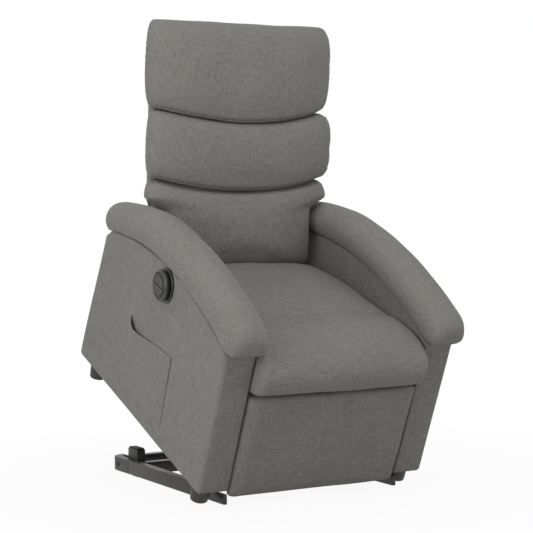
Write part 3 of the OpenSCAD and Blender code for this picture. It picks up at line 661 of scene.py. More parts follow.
class RECLINER_OT_back_cushions(bpy.types.Operator):
    """Lumbar, middle and head cushion of the back, sewn together along two sagging seams"""

    bl_idname = "recliner.back_cushions"
    bl_label = "Back cushions"

    def execute(self, context):
        sizes = context.scene.recliner_back
        fabric = context.scene.recliner_fabric
        bottom = 0.008
        gap = 0.0008
        seam_out = {"lower": 0.110, "upper": 0.116}
        parts = (
            ("lumbar_cushion", bottom, sizes.lower_seam - gap, 0.080, 0.143, (0.062, seam_out["lower"]),
             (0, sizes.smile), sizes.neck, 11),
            ("middle_cushion", sizes.lower_seam + gap, sizes.upper_seam - gap, 0.092, 0.147,
             (seam_out["lower"], seam_out["upper"]), (sizes.smile, sizes.smile), None, 12),
            ("head_cushion", sizes.upper_seam + gap, sizes.height, 0.068, 0.151, (seam_out["upper"], 0.062),
             (sizes.smile, 0), None, 13),
        )
        for name, low, high, rim, crown, edges, smiles, neck, seed in parts:
            piece = back_cushion("padded_" + name, low, high, rim, crown, edges, smiles, neck,
                                 material("back cloth"))
            inflate(piece, fabric.voxel, fabric.pressure, 0.010, cushion_pins(low, high, max(smiles)))
            carve(piece, lambda p, n: self.sewing(p, n, low, high, smiles, seed))
            place(piece, BACK)
            finish(piece, "backrest", "fabric", name)
        return {"FINISHED"}

    def sewing(self, points, out, low, high, smiles, seed):
        """Deep seams, the small folds that run off them, and the seam and puckers down both sides."""
        rng = np.random.default_rng(seed)
        x, z = points[:, 0], points[:, 2]
        front = smooth_step(-0.1, 0.5, -out[:, 1])
        arch = np.maximum(0, 1 - (x / 0.278) ** 2)
        depth = np.zeros(len(points))
        over_lower, under_upper = z - low + smiles[0] * arch, high - smiles[1] * arch - z
        for smile, from_seam in zip(smiles, (over_lower, under_upper)):
            if not smile:
                continue
            depth += 0.0060 * np.exp(-(from_seam / 0.0085) ** 2) * front
            for _ in range(34):
                at = 0.305 * math.sin(math.pi / 2 * rng.uniform(-1, 1))
                strong = 0.35 + 0.65 * abs(at / 0.305) ** 2
                across = x - at - rng.uniform(-0.35, 0.35) * from_seam
                depth -= self.fold(across, from_seam, rng, strong) * front
        beside = 0.312 - np.abs(x)
        for _ in range(26):
            at = rng.uniform(low, high)
            mine = x * (1 if rng.uniform() < 0.5 else -1) > 0
            depth -= self.fold(z - at - rng.uniform(-0.3, 0.3) * beside, beside, rng, 0.9) * mine
        edge = np.exp(-((np.abs(x) - 0.291) / 0.0032) ** 2)
        depth += 0.0011 * edge * front * smooth_step(0.0, 0.02, z - low) * smooth_step(0.0, 0.02, high - z)
        return depth - undulate(points, seed, 0.22, 0.0014)

    def fold(self, across, along, rng, strong):
        """One small fold: a ridge with a hollow on each side that runs out along its length."""
        n = across / rng.uniform(0.0042, 0.0070)
        reach = rng.uniform(0.010, 0.028)
        height = strong * rng.uniform(0.0006, 0.0014)
        return height * (1 - 1.6 * n * n) * np.exp(-n * n) * np.exp(-np.maximum(along, 0) / reach)


def seat_outline(sizes):
    """Side view of the seat cushion: nose, cross seam, top, rear and underside."""
    nose_front, nose_back, nose_mid, nose_low = -0.048, 0.107, 0.412, 0.360
    under = 0.350
    rear = 0.652
    rear_top = sizes.top - 0.044
    nose_r = 0.038

    def corner(centre, a, b, degrees, power=2.0):
        t = np.radians(degrees)
        c, s = np.cos(t), np.sin(t)
        return np.column_stack([centre[0] + a * np.sign(c) * np.abs(c) ** (2 / power),
                                centre[1] + b * np.sign(s) * np.abs(s) ** (2 / power)])

    low_nose = corner((nose_front + nose_r, nose_mid), nose_r, nose_mid - nose_low, np.arange(262, 190, -8))
    nose = corner((nose_back, nose_mid), nose_back - nose_front, sizes.top + 0.003 - nose_mid,
                  np.arange(180, 89, -5), 2.3)
    valley = [(sizes.valley - 0.018, sizes.top - 0.003), (sizes.valley, sizes.top - 0.010),
              (sizes.valley + 0.018, sizes.top - 0.008)]
    run = np.linspace(0, 1, 12)
    start, end = np.array((sizes.valley + 0.050, sizes.top - 0.009)), np.array((rear - 0.020, rear_top))
    top = start + (end - start) * run[:, None] + np.column_stack([run * 0, 0.010 * 4 * run * (1 - run)])
    back = [(rear - 0.005, rear_top - 0.008), (rear, rear_top - 0.024), (rear, under)]
    return np.vstack([low_nose, nose, valley, top, back, [(0.35, under), (0.10, under), (0.027, under)]])


class RECLINER_OT_seat_cushion(bpy.types.Operator):
    """Seat cushion with a rolled nose and a cross seam"""

    bl_idname = "recliner.seat_cushion"
    bl_label = "Seat cushion"

    def execute(self, context):
        sizes = context.scene.recliner_seat
        fabric = context.scene.recliner_fabric
        under = 0.350
        loop = evenly(seat_outline(sizes), 0.0075, smoothing=8)
        before, after = np.roll(loop, 1, axis=0), np.roll(loop, -1, axis=0)
        along = after - before
        normal = np.column_stack([-along[:, 1], along[:, 0]]) / np.linalg.norm(along, axis=1, keepdims=True)
        lift = np.maximum(0, normal[:, 1]) + 0.5 * np.maximum(0, -normal[:, 0])
        soft = 0.014
        rings = []
        for f in np.linspace(-1, 1, 61):
            x = sizes.half_width * math.sin(math.pi / 2 * f)
            inset = soft * (1 - math.sqrt(max(0, 1 - max(0, (abs(x) - sizes.half_width + soft) / soft) ** 2)))
            swell = sizes.crown * (1 - (x / sizes.half_width) ** 2)
            side = loop + normal * (swell * lift - inset)[:, None]
            side[:, 1] = np.maximum(side[:, 1], under)
            rings.append(np.column_stack([np.full(len(side), x), side]))
        piece = loft("padded_seat_cushion", rings, material("seat cloth"))

        def held(points, out):
            low = 1 - smooth_step(under + 0.004, under + 0.020, points[:, 2])
            sides = smooth_step(sizes.half_width - 0.010, sizes.half_width - 0.002, np.abs(points[:, 0]))
            seam = np.exp(-((points[:, 1] - sizes.valley) / 0.010) ** 2) * (out[:, 2] > 0.5)
            return np.maximum(np.maximum(low, sides), seam)

        inflate(piece, fabric.voxel * 1.05, fabric.pressure, 0.008, held)

        def depth(points, out):
            up = smooth_step(0.2, 0.7, out[:, 2])
            x = points[:, 0]
            seam_at = sizes.valley + 0.003 * np.sin(x * 9)
            seam = 0.0032 * np.exp(-((points[:, 1] - seam_at) / 0.0034) ** 2) * up
            rng = np.random.default_rng(5)
            folds = np.zeros(len(points))
            for at in rng.uniform(-0.24, 0.24, 22):
                width = rng.uniform(0.006, 0.011)
                reach = np.exp(-((points[:, 1] - seam_at) / rng.uniform(0.012, 0.028)) ** 2)
                folds += 0.0009 * np.cos((x - at) / width) * np.exp(-((x - at) / (2 * width)) ** 2) * reach
            corners = gathers(points, [((s * 0.250, -0.020, 0.440), (-s * 0.4, -0.2, 0.9), (0, -0.9, 0.4))
                                       for s in (-1, 1)], 21, 5, 0.8, 0.07, 0.008, 0.0018)
            return seam + folds * up - corners - undulate(points, 15, 0.20, 0.0016)

        carve(piece, depth)
        place(piece, CHAIR)
        finish(piece, "chair", "fabric", "seat_cushion")
        return {"FINISHED"}


# ---- Arms ----

ARC_FRONT = np.array((0.0, 0.477))
ARC_REAR = np.array((0.816, 0.492))


def arc_point(f, out, arch):
    """Point on the arched seam, f of the way from its front to its rear, out away from it."""
    chord = np.linalg.norm(ARC_REAR - ARC_FRONT)
    radius = ((chord / 2) ** 2 + arch * arch) / (2 * arch)
    half = math.asin(chord / 2 / radius)
    turn = (2 * np.asarray(f, float) - 1) * half
    along = (ARC_REAR - ARC_FRONT) / chord
    up = np.array((-along[1], along[0]))
    middle = (ARC_FRONT + ARC_REAR) / 2 + up * (arch - radius)
    reach = radius + np.asarray(out, float)
    return middle + np.multiply.outer(reach * np.sin(turn), along) + np.multiply.outer(reach * np.cos(turn), up)


def arm_outline(arch):
    """Side view of an arm panel with its rounding at each point."""
    front, rear, low = 0.012, 0.880, 0.048
    edge, seam = 0.012, 0.0045
    rows = []

    def run(a, b, count, r):
        for t in np.linspace(0, 1, count, endpoint=False):
            rows.append((*(np.array(a) * (1 - t) + np.array(b) * t), r))

    def bend(centre, radius, start, end, r):
        for t in np.radians(np.linspace(start, end, 7)):
            rows.append((centre[0] + radius * math.cos(t), centre[1] + radius * math.sin(t), r))

    bend((front + 0.014, low + 0.014), 0.014, 180, 270, edge)
    run((front + 0.03, low), (rear - 0.03, low), 60, edge)
    bend((rear - 0.018, low + 0.018), 0.018, 270, 350, edge)
    run((rear - 0.004, low + 0.04), ARC_REAR + (0.0045, -0.030), 34, edge)
    bend(ARC_REAR + (-0.0135, -0.0235), 0.018, 5, 80, edge)
    for f in np.linspace(0.965, 0.0, 60):
        rows.append((*arc_point(f, -0.0006, arch), seam))
    run(ARC_FRONT + (0.0003, -0.006), (front - 0.0005, low + 0.03), 34, edge)
    return np.array(rows)


class RECLINER_OT_arm_panels(bpy.types.Operator):
    """Padded arm panels, with a notch inside for the lift frame's bracket"""

    bl_idname = "recliner.arm_panels"
    bl_label = "Arm panels"

    def execute(self, context):
        sizes = context.scene.recliner_arms
        outline = arm_outline(sizes.arch)
        count = 420
        path = fixed_count(outline, count)
        loop, rounding = path[:, :2], path[:, 2]
        centre = loop.mean(axis=0)
        before, after = np.roll(loop, 1, axis=0), np.roll(loop, -1, axis=0)
        tangent = (after - before) / np.linalg.norm(after - before, axis=1, keepdims=True)
        inward = np.column_stack([-tangent[:, 1], tangent[:, 0]])
        if ((centre - loop) * inward).sum() < 0:
            inward = -inward
        crown = 0.0010
        inner_rounding = np.minimum(rounding, np.where(rounding > 0.006, 0.006, 0.002))
        for side in SIDES:
            rings = []
            for share in (0.03, 0.10, 0.2, 0.32, 0.45, 0.6, 0.72, 0.82, 0.90, 0.95):
                flat = centre + (loop + inward * rounding[:, None] - centre) * share
                rings.append((flat, 0.0, crown * (1 - share ** 3)))
            for turn in np.radians(np.linspace(0, 90, 7)):
                flat = loop + inward * (rounding * (1 - np.sin(turn)))[:, None]
                rings.append((flat, 1 - np.cos(turn), 0.0))
            skin = []
            for flat, round_in, raised in rings:
                x = sizes.outer - rounding * round_in + raised
                skin.append(np.column_stack([x, flat]))
            inner = []
            for flat, round_in, raised in reversed(rings):
                x = sizes.inner + inner_rounding * round_in - raised * 0.1
                inner.append(np.column_stack([x, flat]))
            piece = loft("arm_panel_cover_" + side, skin + inner, material("seat cloth"))
            self.notch(piece)
            seed = 31 if side == "right" else 32
            carve(piece, lambda p, n: (-undulate(p, seed, 0.30, 0.0010)
                                       * smooth_step(0.6, 0.95, np.abs(n[:, 0]))))
            place(piece, mirrored(side))
            turn_out(piece)
            finish(piece, "chair", "fabric", "arm_panel_" + side)
        return {"FINISHED"}

    def notch(self, piece):
        """Cuts the room for the lift frame's bracket out of the inner face."""
        low, high = (0.262, 0.036, 0.040), (0.288, 0.136, 0.134)
        corners = [(x, y, z) for x in (low[0], high[0]) for y in (low[1], high[1]) for z in (low[2], high[2])]
        sides = [(0, 1, 3, 2), (4, 6, 7, 5), (0, 4, 5, 1), (2, 3, 7, 6), (0, 2, 6, 4), (1, 5, 7, 3)]
        cutter = mesh_piece("notch_cutter", corners, sides, material("seat cloth"))
        modifier(piece, "BOOLEAN", operation="DIFFERENCE", object=cutter, solver="EXACT")
        bake_modifiers(piece)
        bpy.data.objects.remove(cutter)
        piece.data.set_sharp_from_angle(angle=math.radians(50))


def roll_section(sizes):
    """Half-round section of an arm roll: (distance from the middle, height over the seam), outer seam first."""
    top = sizes.roll_height
    outer, inner = sizes.outer, 0.254
    return [
        (outer - 0.0015, 0.0006), (outer + 0.0020, 0.0035), (outer + 0.0062, 0.012), (outer + 0.0092, 0.026),
        (outer + 0.0092, 0.042), (outer + 0.0060, 0.060), (outer - 0.0025, top - 0.0200),
        (outer - 0.0180, top - 0.0060), (outer - 0.0380, top), (outer - 0.0600, top - 0.0008),
        (outer - 0.0790, top - 0.0080),
        (inner + 0.0100, top - 0.0210), (inner + 0.0030, top - 0.0360), (inner, top - 0.0500),
        (inner + 0.0004, 0.0400), (inner + 0.0022, 0.0270), (inner + 0.0062, 0.0140), (inner + 0.0112, 0.0050),
        (inner + 0.0165, 0.0010), (inner + 0.0220, 0.0006), (inner + 0.0400, 0.0006), (outer - 0.0300, 0.0006),
    ]


class RECLINER_OT_arm_rolls(bpy.types.Operator):
    """Padded rolls along the top of both arms, full and rounded at the front"""

    bl_idname = "recliner.arm_rolls"
    bl_label = "Arm rolls"

    def execute(self, context):
        sizes = context.scene.recliner_arms
        fabric = context.scene.recliner_fabric
        section = evenly(roll_section(sizes), 0.0045, smoothing=3)
        span = np.linalg.norm(ARC_REAR - ARC_FRONT)
        first, last = -0.030 / span, 1.0
        front_round, rear_round = 0.060 / span, 0.030 / span
        middle_x = 0.315

        for side in SIDES:
            rings = []
            for k in 0.5 - 0.5 * np.cos(np.linspace(0.035, math.pi - 0.035, 110)):
                f = first + (last - first) * k
                near = min((f - first) / front_round, (last - f) / rear_round)
                at_front = f < 0.5
                power = 2.3 if at_front else 3.2
                full = 1.0 if near >= 1 else (1 - (1 - near) ** power) ** (1 / power)
                narrowed = 0.62 if at_front else 0.8
                x = middle_x + (section[:, 0] - middle_x) * (narrowed + (1 - narrowed) * full)
                centre_h = 0.040 if at_front else 0.046
                tall = section[:, 1] * (1 - 0.165 * float(smooth_step(0.62, 1.0, f)))
                h = centre_h + (tall - centre_h) * full
                h = np.maximum(h, self.turned_under(section[:, 0], max(0.0, (0.016 - f * span) / 0.050)))
                spot = arc_point(np.full(len(h), f), h, sizes.arch)
                rings.append(np.column_stack([x, spot]))
            piece = loft("padded_arm_roll_" + side, rings, material("seat cloth"))

            def held(points, out):
                low = self.height(points, sizes.arch) < 0.006
                return low.astype(float)

            inflate(piece, fabric.voxel, fabric.pressure, 0.0035, held)
            seed = 41 if side == "right" else 42
            carve(piece, lambda p, n: self.folds(p, seed))
            place(piece, mirrored(side))
            turn_out(piece)
            finish(piece, "chair", "fabric", "arm_roll_" + side)
        return {"FINISHED"}

    def turned_under(self, x, share):
        """Lowest height across the roll where its overhanging front end rounds off below."""
        if share <= 0:
            return np.full(len(x), -1.0)
        round_r = 0.003 + 0.021 * min(1.0, share)
        edge = np.minimum(np.minimum(x.max() - x, x - x.min()), round_r)
        return round_r - np.sqrt(np.maximum(0, round_r ** 2 - (round_r - edge) ** 2))

    def height(self, points, arch):
        """How far each point is above the arched seam."""
        chord = np.linalg.norm(ARC_REAR - ARC_FRONT)
        radius = ((chord / 2) ** 2 + arch * arch) / (2 * arch)
        along = (ARC_REAR - ARC_FRONT) / chord
        up = np.array((-along[1], along[0]))
        middle = (ARC_FRONT + ARC_REAR) / 2 + up * (arch - radius)
        return np.linalg.norm(points[:, 1:] - middle, axis=1) - radius

    def folds(self, points, seed):
        """Puckers where the cloth turns round the front end."""
        starts = [((0.330, -0.012, 0.486), (0.25, -0.45, 0.85), (0.3, -0.8, -0.5)),
                  ((0.285, -0.012, 0.486), (-0.25, -0.45, 0.85), (-0.3, -0.8, -0.5))]
        fan = gathers(points, starts, seed, 5, 0.6, 0.045, 0.006, 0.0016)
        return -fan - undulate(points, seed, 0.16, 0.0010)


# ---- Pocket, footrest and the padded parts behind ----


def drawn_grid(name, columns, rows, spot, cloth):
    """An open sheet of columns by rows points, each placed by spot(u, v) with u and v from 0 to 1."""
    points, faces = [], []
    for i in range(rows + 1):
        for j in range(columns + 1):
            points.append(spot(j / columns, i / rows))
    for i in range(rows):
        for j in range(columns):
            a = i * (columns + 1) + j
            faces.append((a, a + 1, a + columns + 2, a + columns + 1))
    return mesh_piece(name, points, faces, cloth)


class RECLINER_OT_side_pocket(bpy.types.Operator):
    """Cloth pocket on the right arm, sewn down along three edges and standing open at its top"""

    bl_idname = "recliner.side_pocket"
    bl_label = "Side pocket"

    def execute(self, context):
        outer = context.scene.recliner_arms.outer
        front, rear, low, high = 0.283, 0.563, 0.108, 0.330
        hem = 0.020
        thickness = 0.0016

        # The mouth's edge, from the rear: distance along it, its droop and how far it stands off the arm.
        run = (0.0, 0.011, 0.026, 0.047, 0.080, 0.135, 0.221, 0.280)
        droop = (0.0, 0.0076, 0.017, 0.025, 0.0235, 0.0165, 0.0053, 0.0)
        open_by = (0.0, 0.0060, 0.0105, 0.0120, 0.0095, 0.0050, 0.0022, 0.0006)

        def spot(u, v):
            from_rear = (rear - front) * (1 - u)
            mouth = float(smooth_step(0.25, 1.0, v))
            sag = float(np.interp(from_rear, run, droop)) * v ** 3
            off = 0.0016 + float(np.interp(from_rear, run, open_by)) * mouth
            ripple = 0.0005 * math.sin(17 * u + 5 * v) * v
            return (outer + off + ripple, front + (rear - front) * u, low + (high - low) * v - sag)

        sheet = drawn_grid("side_pocket_cloth", 84, 66, spot, material("seat cloth"))
        modifier(sheet, "SOLIDIFY", thickness=thickness, offset=0, use_rim=True)
        modifier(sheet, "SUBSURF", levels=1, render_levels=1)
        bake_modifiers(sheet)

        def turned_over(u, v):
            raised = (0.0014 * math.sin(math.pi * v) ** 0.5, 0, 0.0003 * v)
            return tuple(np.array(spot(u, 1 - hem / (high - low) * (1 - v))) + raised)

        band = drawn_grid("side_pocket_hem", 84, 6, turned_over, material("seat cloth"))
        modifier(band, "SOLIDIFY", thickness=0.0012, offset=0, use_rim=True)
        bake_modifiers(band)
        # A charcoal strip in the front seam paints the fold's shade.
        shadow_strip = self.shadow_strip(outer, front, low, high)
        for piece in (sheet, band, shadow_strip):
            place(piece, mirrored("right"))
            turn_out(piece)
            piece.data.shade_smooth()
        finish(sheet, "chair", "fabric", "side_pocket")
        finish(band, "chair", "fabric")
        finish(shadow_strip, "chair", "fabric")
        return {"FINISHED"}

    def shadow_strip(self, outer, front, low, high):
        """Charcoal strip in the seam that runs down the pocket's front edge: painted shade where the fold casts
        its shadow, not a real binding.
        """
        rings = []
        for z in np.linspace(low + 0.004, high - 0.001, 60):
            turn = np.linspace(0, 2 * math.pi, 9)[:-1]
            sway = 0.0006 * math.sin(z * 60)
            thin = 0.0015 * min(1.0, (z - low) / 0.03 + 0.25)
            rings.append(np.column_stack([outer + 0.0008 + 0.0016 * np.cos(turn),
                                          front - 0.0012 + sway + thin * np.sin(turn), np.full(8, z)]))
        return loft("side_pocket_binding", rings, material("painted seam shadow"))


class RECLINER_OT_footrest_pad(bpy.types.Operator):
    """Padded front of the footrest, under the nose of the seat"""

    bl_idname = "recliner.footrest_pad"
    bl_label = "Footrest pad"

    def execute(self, context):
        fabric = context.scene.recliner_fabric
        half, low, high = 0.2680, 0.030, 0.348
        back = 0.020
        face_low, face_top = 0.008, -0.014
        rings = []
        for share, depth in ((0.2, 1.0), (0.4, 1.0), (0.6, 1.0), (0.8, 1.0), (0.90, 0.995), (0.950, 0.96),
                             (0.978, 0.88), (0.994, 0.70), (1.0, 0.48), (1.0, 0.25), (1.0, -0.2), (1.0, -0.45),
                             (0.996, -0.56), (0.988, -0.6), (0.980, -0.6), (0.975, -0.55), (0.973, -0.1),
                             (0.960, 0.0), (0.7, 0.0), (0.35, 0.0)):
            t = np.linspace(0, 2 * math.pi, 161)[:-1]
            power = 34
            x = np.sign(np.cos(t)) * np.abs(np.cos(t)) ** (2 / power)
            z = np.sign(np.sin(t)) * np.abs(np.sin(t)) ** (2 / power)
            ring = np.column_stack([x, z])
            ring = fixed_count(ring, 160) * share
            f = (ring[:, 1] + 1) / 2
            face = face_low + (face_top - face_low) * f
            swell = 0.004 * (1 - ring[:, 0] ** 2) * (1 - ring[:, 1] ** 2) * max(depth, 0)
            y = back - (back - face if depth > 0 else 0.020) * depth - swell
            rings.append(np.column_stack([half * ring[:, 0], y, low + (high - low) * f]))
        piece = loft("padded_footrest", rings, material("seat cloth"))

        def held(points, out):
            return smooth_step(back - 0.006, back - 0.001, points[:, 1])

        inflate(piece, 0.004, fabric.pressure, 0.0025, held)
        carve(piece, lambda p, n: (self.creases(p, half)
                                   - undulate(p, 51, 0.16, 0.0010) * smooth_step(0.3, 0.9, -n[:, 1])))
        place(piece, CHAIR)
        finish(piece, "footrest", "fabric", "footrest_pad")
        return {"FINISHED"}

    def creases(self, points, half):
        """Short creases where the cloth is pulled round the two sides."""
        rng = np.random.default_rng(53)
        inwards = np.maximum(0, half - np.abs(points[:, 0]))
        depth = np.zeros(len(points))
        for _ in range(24):
            at, side = rng.uniform(0.06, 0.33), rng.choice((-1, 1))
            across = (points[:, 2] - at - rng.uniform(-0.25, 0.25) * inwards) / rng.uniform(0.005, 0.008)
            reach = rng.uniform(0.008, 0.020)
            mine = (points[:, 0] * side > 0) * (points[:, 1] < 0.018)
            depth += 0.0012 * np.exp(-across ** 2) * np.exp(-inwards / reach) * mine
        return depth


class RECLINER_OT_back_covers(bpy.types.Operator):
    """Padded tray behind the back's frame, and the upholstered panel between the arms"""

    bl_idname = "recliner.back_covers"
    bl_label = "Back covers"

    def execute(self, context):
        self.tray(context)
        self.rear_panel(context)
        return {"FINISHED"}

    def tray(self, context):
        sizes = context.scene.recliner_back
        wide, neck = 0.2575, sizes.neck
        wide_low, low, high = 0.210, 0.014, 0.740
        front, rear = -0.017, 0.0335
        frame_front = 0.0205
        corner = 0.028
        right = [(neck, low + 0.012), (neck, wide_low - 0.012),
                 (wide - 0.001, wide_low + 0.002), (wide, wide_low + 0.012), (wide, high - corner)]
        right += [(wide - corner + corner * math.cos(t), high - corner + corner * math.sin(t))
                  for t in np.linspace(0, math.pi / 2, 6)]
        left = [(-x, z) for x, z in reversed(right)]
        outline = right + left + [(-neck + 0.012, low), (neck - 0.012, low)]
        loop = evenly(outline, 0.0055, smoothing=10)
        before, after = np.roll(loop, 1, axis=0), np.roll(loop, -1, axis=0)
        tangent = (after - before) / np.linalg.norm(after - before, axis=1, keepdims=True)
        inward = np.column_stack([-tangent[:, 1], tangent[:, 0]])
        rings = []
        soft = 0.0115

        def ring(inset, y):
            flat = loop + inward * inset
            return np.column_stack([flat[:, 0], np.broadcast_to(y, len(flat)), flat[:, 1]])

        low_part = loop[:, 1] < wide_low + 0.004
        start = np.where(low_part, frame_front, front)
        centre = np.array((0.0, 0.42))
        edge = 0.005
        for t in np.radians(np.linspace(90, 0, 5)):
            rings.append(ring(edge * (1 - math.cos(t)), start + edge * (1 - math.sin(t))))
        for share in np.linspace(0.12, 0.88, 7):
            rings.append(ring(0.0, (start + edge) * (1 - share) + (rear - soft) * share))
        for t in np.radians(np.linspace(0, 90, 14)):
            y = np.maximum(start + edge + 0.002, rear - soft + soft * math.sin(t))
            rings.append(ring(soft * (1 - math.cos(t)), y))
        last = rings[-1][:, [0, 2]]
        for share in np.linspace(0.985, 0.02, 56):
            flat = centre + (last - centre) * share
            bulge = 0.0022 * (1 - share ** 4)
            rings.append(np.column_stack([flat[:, 0], np.full(len(flat), rear + bulge), flat[:, 1]]))
        first = rings[0][:, [0, 2]]
        inner = []
        for share in np.linspace(0.08, 0.95, 12):
            flat = centre + (first - centre) * share
            inner.append(np.column_stack([flat[:, 0], np.full(len(flat), frame_front + 0.001), flat[:, 1]]))
        well = ring(0.014, frame_front + 0.001)
        piece = loft("padded_back_cover", inner + [well] + rings, material("back cloth"))

        def depth(points, out):
            behind = smooth_step(0.6, 0.95, out[:, 1])
            across = np.abs(points[:, 0])
            panel = np.minimum(np.abs(across - 0.214), 1.0)
            seam = 0.0020 * np.exp(-(panel / 0.0035) ** 2) * (points[:, 2] > 0.03)
            hem = 0.0020 * np.exp(-((points[:, 2] - 0.255) / 0.0035) ** 2) * (across < 0.214)
            return behind * (np.maximum(seam, hem) - undulate(points, 61, 0.26, 0.0016))

        carve(piece, depth)
        place(piece, BACK)
        turn_out(piece)
        piece.data.shade_smooth()
        finish(piece, "backrest", "fabric", "back_cover")

    def rear_panel(self, context):
        low, high = inside_box("rear_panel", CHAIR)
        middle, half = (low + high) / 2, (high - low) / 2
        half[0] -= 0.001
        soft = 0.0065
        count = 360
        t = np.linspace(0, 2 * math.pi, 721)[:-1]
        outline = np.column_stack([np.sign(np.cos(t)) * np.abs(np.cos(t)) ** (2 / 18),
                                   np.sign(np.sin(t)) * np.abs(np.sin(t)) ** (2 / 18)])
        outline = fixed_count(outline * half[[0, 2]], count)

        def ring(share, inset, y):
            flat = outline * share * (1 - inset / half[[0, 2]])
            return np.column_stack([middle[0] + flat[:, 0], np.full(count, y), middle[2] + flat[:, 1]])

        turns = np.radians(np.linspace(0, 180, 17))
        rings = [ring(share, soft, middle[1] + half[1]) for share in np.linspace(0.04, 0.97, 34)]
        rings += [ring(1, soft * (1 - math.sin(turn)), middle[1] + half[1] * math.cos(turn)) for turn in turns]
        rings += [ring(share, soft, middle[1] - half[1]) for share in (0.9, 0.6, 0.3, 0.1)]
        piece = loft("rear_panel_cover", rings, material("seat cloth"))
        carve(piece, lambda p, n: -undulate(p, 62, 0.2, 0.0010) * smooth_step(0.5, 0.9, n[:, 1]))
        place(piece, CHAIR)
        finish(piece, "chair", "fabric", "rear_panel")


# ---- Hand control ----


def turned_disc(name, profile, centre_y, centre_z, finish_name, stretch=0.0, count=96):
    """A disc on the right arm's outer face, turned from (radius, distance from the middle) pairs."""
    rings = []
    for r, x in profile:
        t = np.linspace(0, 2 * math.pi, count + 1)[:-1]
        z = centre_z + r * np.sin(t) + np.sign(np.sin(t)) * stretch * (r > 0.02)
        rings.append(np.column_stack([np.full(count, x), centre_y + r * np.cos(t), z]))
    return loft(name, rings, material(finish_name))


class RECLINER_OT_hand_control(bpy.types.Operator):
    """Oval base plate, ridged round control and its two half-moon keys"""

    bl_idname = "recliner.hand_control"
    bl_label = "Hand control"

    def execute(self, context):
        sizes = context.scene.recliner_control
        outer = sizes.outer
        r, y, z = sizes.radius, sizes.along, sizes.height
        rise = 0.006
        plate = turned_disc("control_base_plate", [
            (0.010, outer - 0.001), (r, outer - 0.001), (r + 0.001, outer + 0.001), (r + 0.0008, outer + 0.0040),
            (r - 0.0008, outer + 0.0056), (r - 0.0035, outer + rise), (r - 0.008, outer + rise),
            (0.010, outer + rise)], y, z, "black plastic", stretch=0.005)
        face = outer + rise + 0.018
        key_r = r * 0.62
        well = face - 0.0085
        profile = [(0.006, outer + rise + 0.0003), (r - 0.006, outer + rise + 0.0003),
                   (r - 0.004, outer + rise + 0.003),
                   (r - 0.0035, outer + rise + 0.0060), (r - 0.0008, outer + rise + 0.0075),
                   (r, outer + rise + 0.0095), (r, face - 0.0050), (r - 0.0012, face - 0.0026),
                   (r - 0.0034, face - 0.0006), (r - 0.0058, face)]
        ridge = np.linspace(r - 0.0070, key_r + 0.0040, 13)
        for k, radius in enumerate(ridge):
            profile.append((radius, face - (0.0011 if k % 2 else 0.0)))
        profile += [(key_r + 0.0022, face), (key_r + 0.0010, face - 0.0008), (key_r + 0.0006, well),
                    (key_r * 0.5, well), (0.004, well)]
        puck = turned_disc("control_puck_body", profile, y, z, "charcoal plastic")
        for piece in (plate, puck):
            modifier(piece, "BEVEL", width=0.0004, segments=2, limit_method="ANGLE",
                     angle_limit=math.radians(40))
            bake_modifiers(piece)
            piece.data.set_sharp_from_angle(angle=math.radians(40))
            place(piece, mirrored("right"))
            turn_out(piece)
        bar = self.bar(y, z, key_r, well, face)
        finish(plate, "chair", "plastic_black", "control_plate")
        finish(puck, "chair", "plastic_charcoal", "control_puck")
        finish(bar, "chair", "plastic_charcoal")
        for way in (1, -1):
            self.key(y, z, key_r, face, way)
        return {"FINISHED"}

    def bar(self, y, z, key_r, well, face):
        """The web between the two keys."""
        half = 0.0014
        reach = key_r + 0.0004
        rings = []
        for along in (-reach, reach):
            rings.append(np.array([(well - 0.0005, y + along, z - half), (face - 0.0002, y + along, z - half),
                                   (face - 0.0002, y + along, z + half), (well - 0.0005, y + along, z + half)]))
        web = loft("control_key_web", rings, material("charcoal plastic"))
        modifier(web, "BEVEL", width=0.0003, segments=2)
        bake_modifiers(web)
        place(web, mirrored("right"))
        return turn_out(web)

    def key(self, y, z, key_r, face, way):
        """Half-moon key, dished towards its middle, with a raised bar to find it by."""
        gap = 0.0021
        top, low = face + 0.0015, face - 0.0042
        start = math.asin(gap / key_r)
        arc = np.linspace(start, math.pi - start, 49)
        edge = np.column_stack([key_r * np.cos(arc), key_r * np.sin(arc)])
        chord = np.linspace(edge[-1, 0], edge[0, 0], 33)[1:-1]
        edge = np.vstack([edge, np.column_stack([chord, np.full(len(chord), gap)])])
        middle = np.array((0.0, key_r * 0.45))
        rings = []
        for share, x in ((0.15, low), (0.96, low), (1.0, low + 0.0004), (1.0, top - 0.0008), (0.985, top - 0.0002),
                         (0.955, top), (0.88, top - 0.0001), (0.7, top - 0.0006), (0.5, top - 0.0010),
                         (0.25, top - 0.0012)):
            flat = middle + (edge - middle) * share
            rings.append(np.column_stack([np.full(len(flat), x), y + flat[:, 0], z + way * flat[:, 1]]))
        name = "up" if way > 0 else "down"
        piece = loft("control_key_" + name, rings, material("black plastic"))
        mark = []
        for along, h in ((-0.0060, 0.0001), (-0.0055, 0.0009), (0.0055, 0.0009), (0.0060, 0.0001)):
            mark.append(np.array([(top - 0.0012, y + along, z + way * (key_r * 0.45 - 0.0011)),
                                  (top - 0.0012 + h, y + along, z + way * (key_r * 0.45 - 0.0007)),
                                  (top - 0.0012 + h, y + along, z + way * (key_r * 0.45 + 0.0007)),
                                  (top - 0.0012, y + along, z + way * (key_r * 0.45 + 0.0011))]))
        bar = loft("control_key_mark_" + name, mark, material("charcoal plastic"))
        for made in (piece, bar):
            place(made, mirrored("right"))
            turn_out(made)
            made.data.set_sharp_from_angle(angle=math.radians(40))
        finish(piece, "button_" + name, "plastic_black", "button_" + name)
        finish(bar, "button_" + name, "plastic_charcoal")


# ---- Steel, wood and plastic parts that keep the CAD's own shape ----


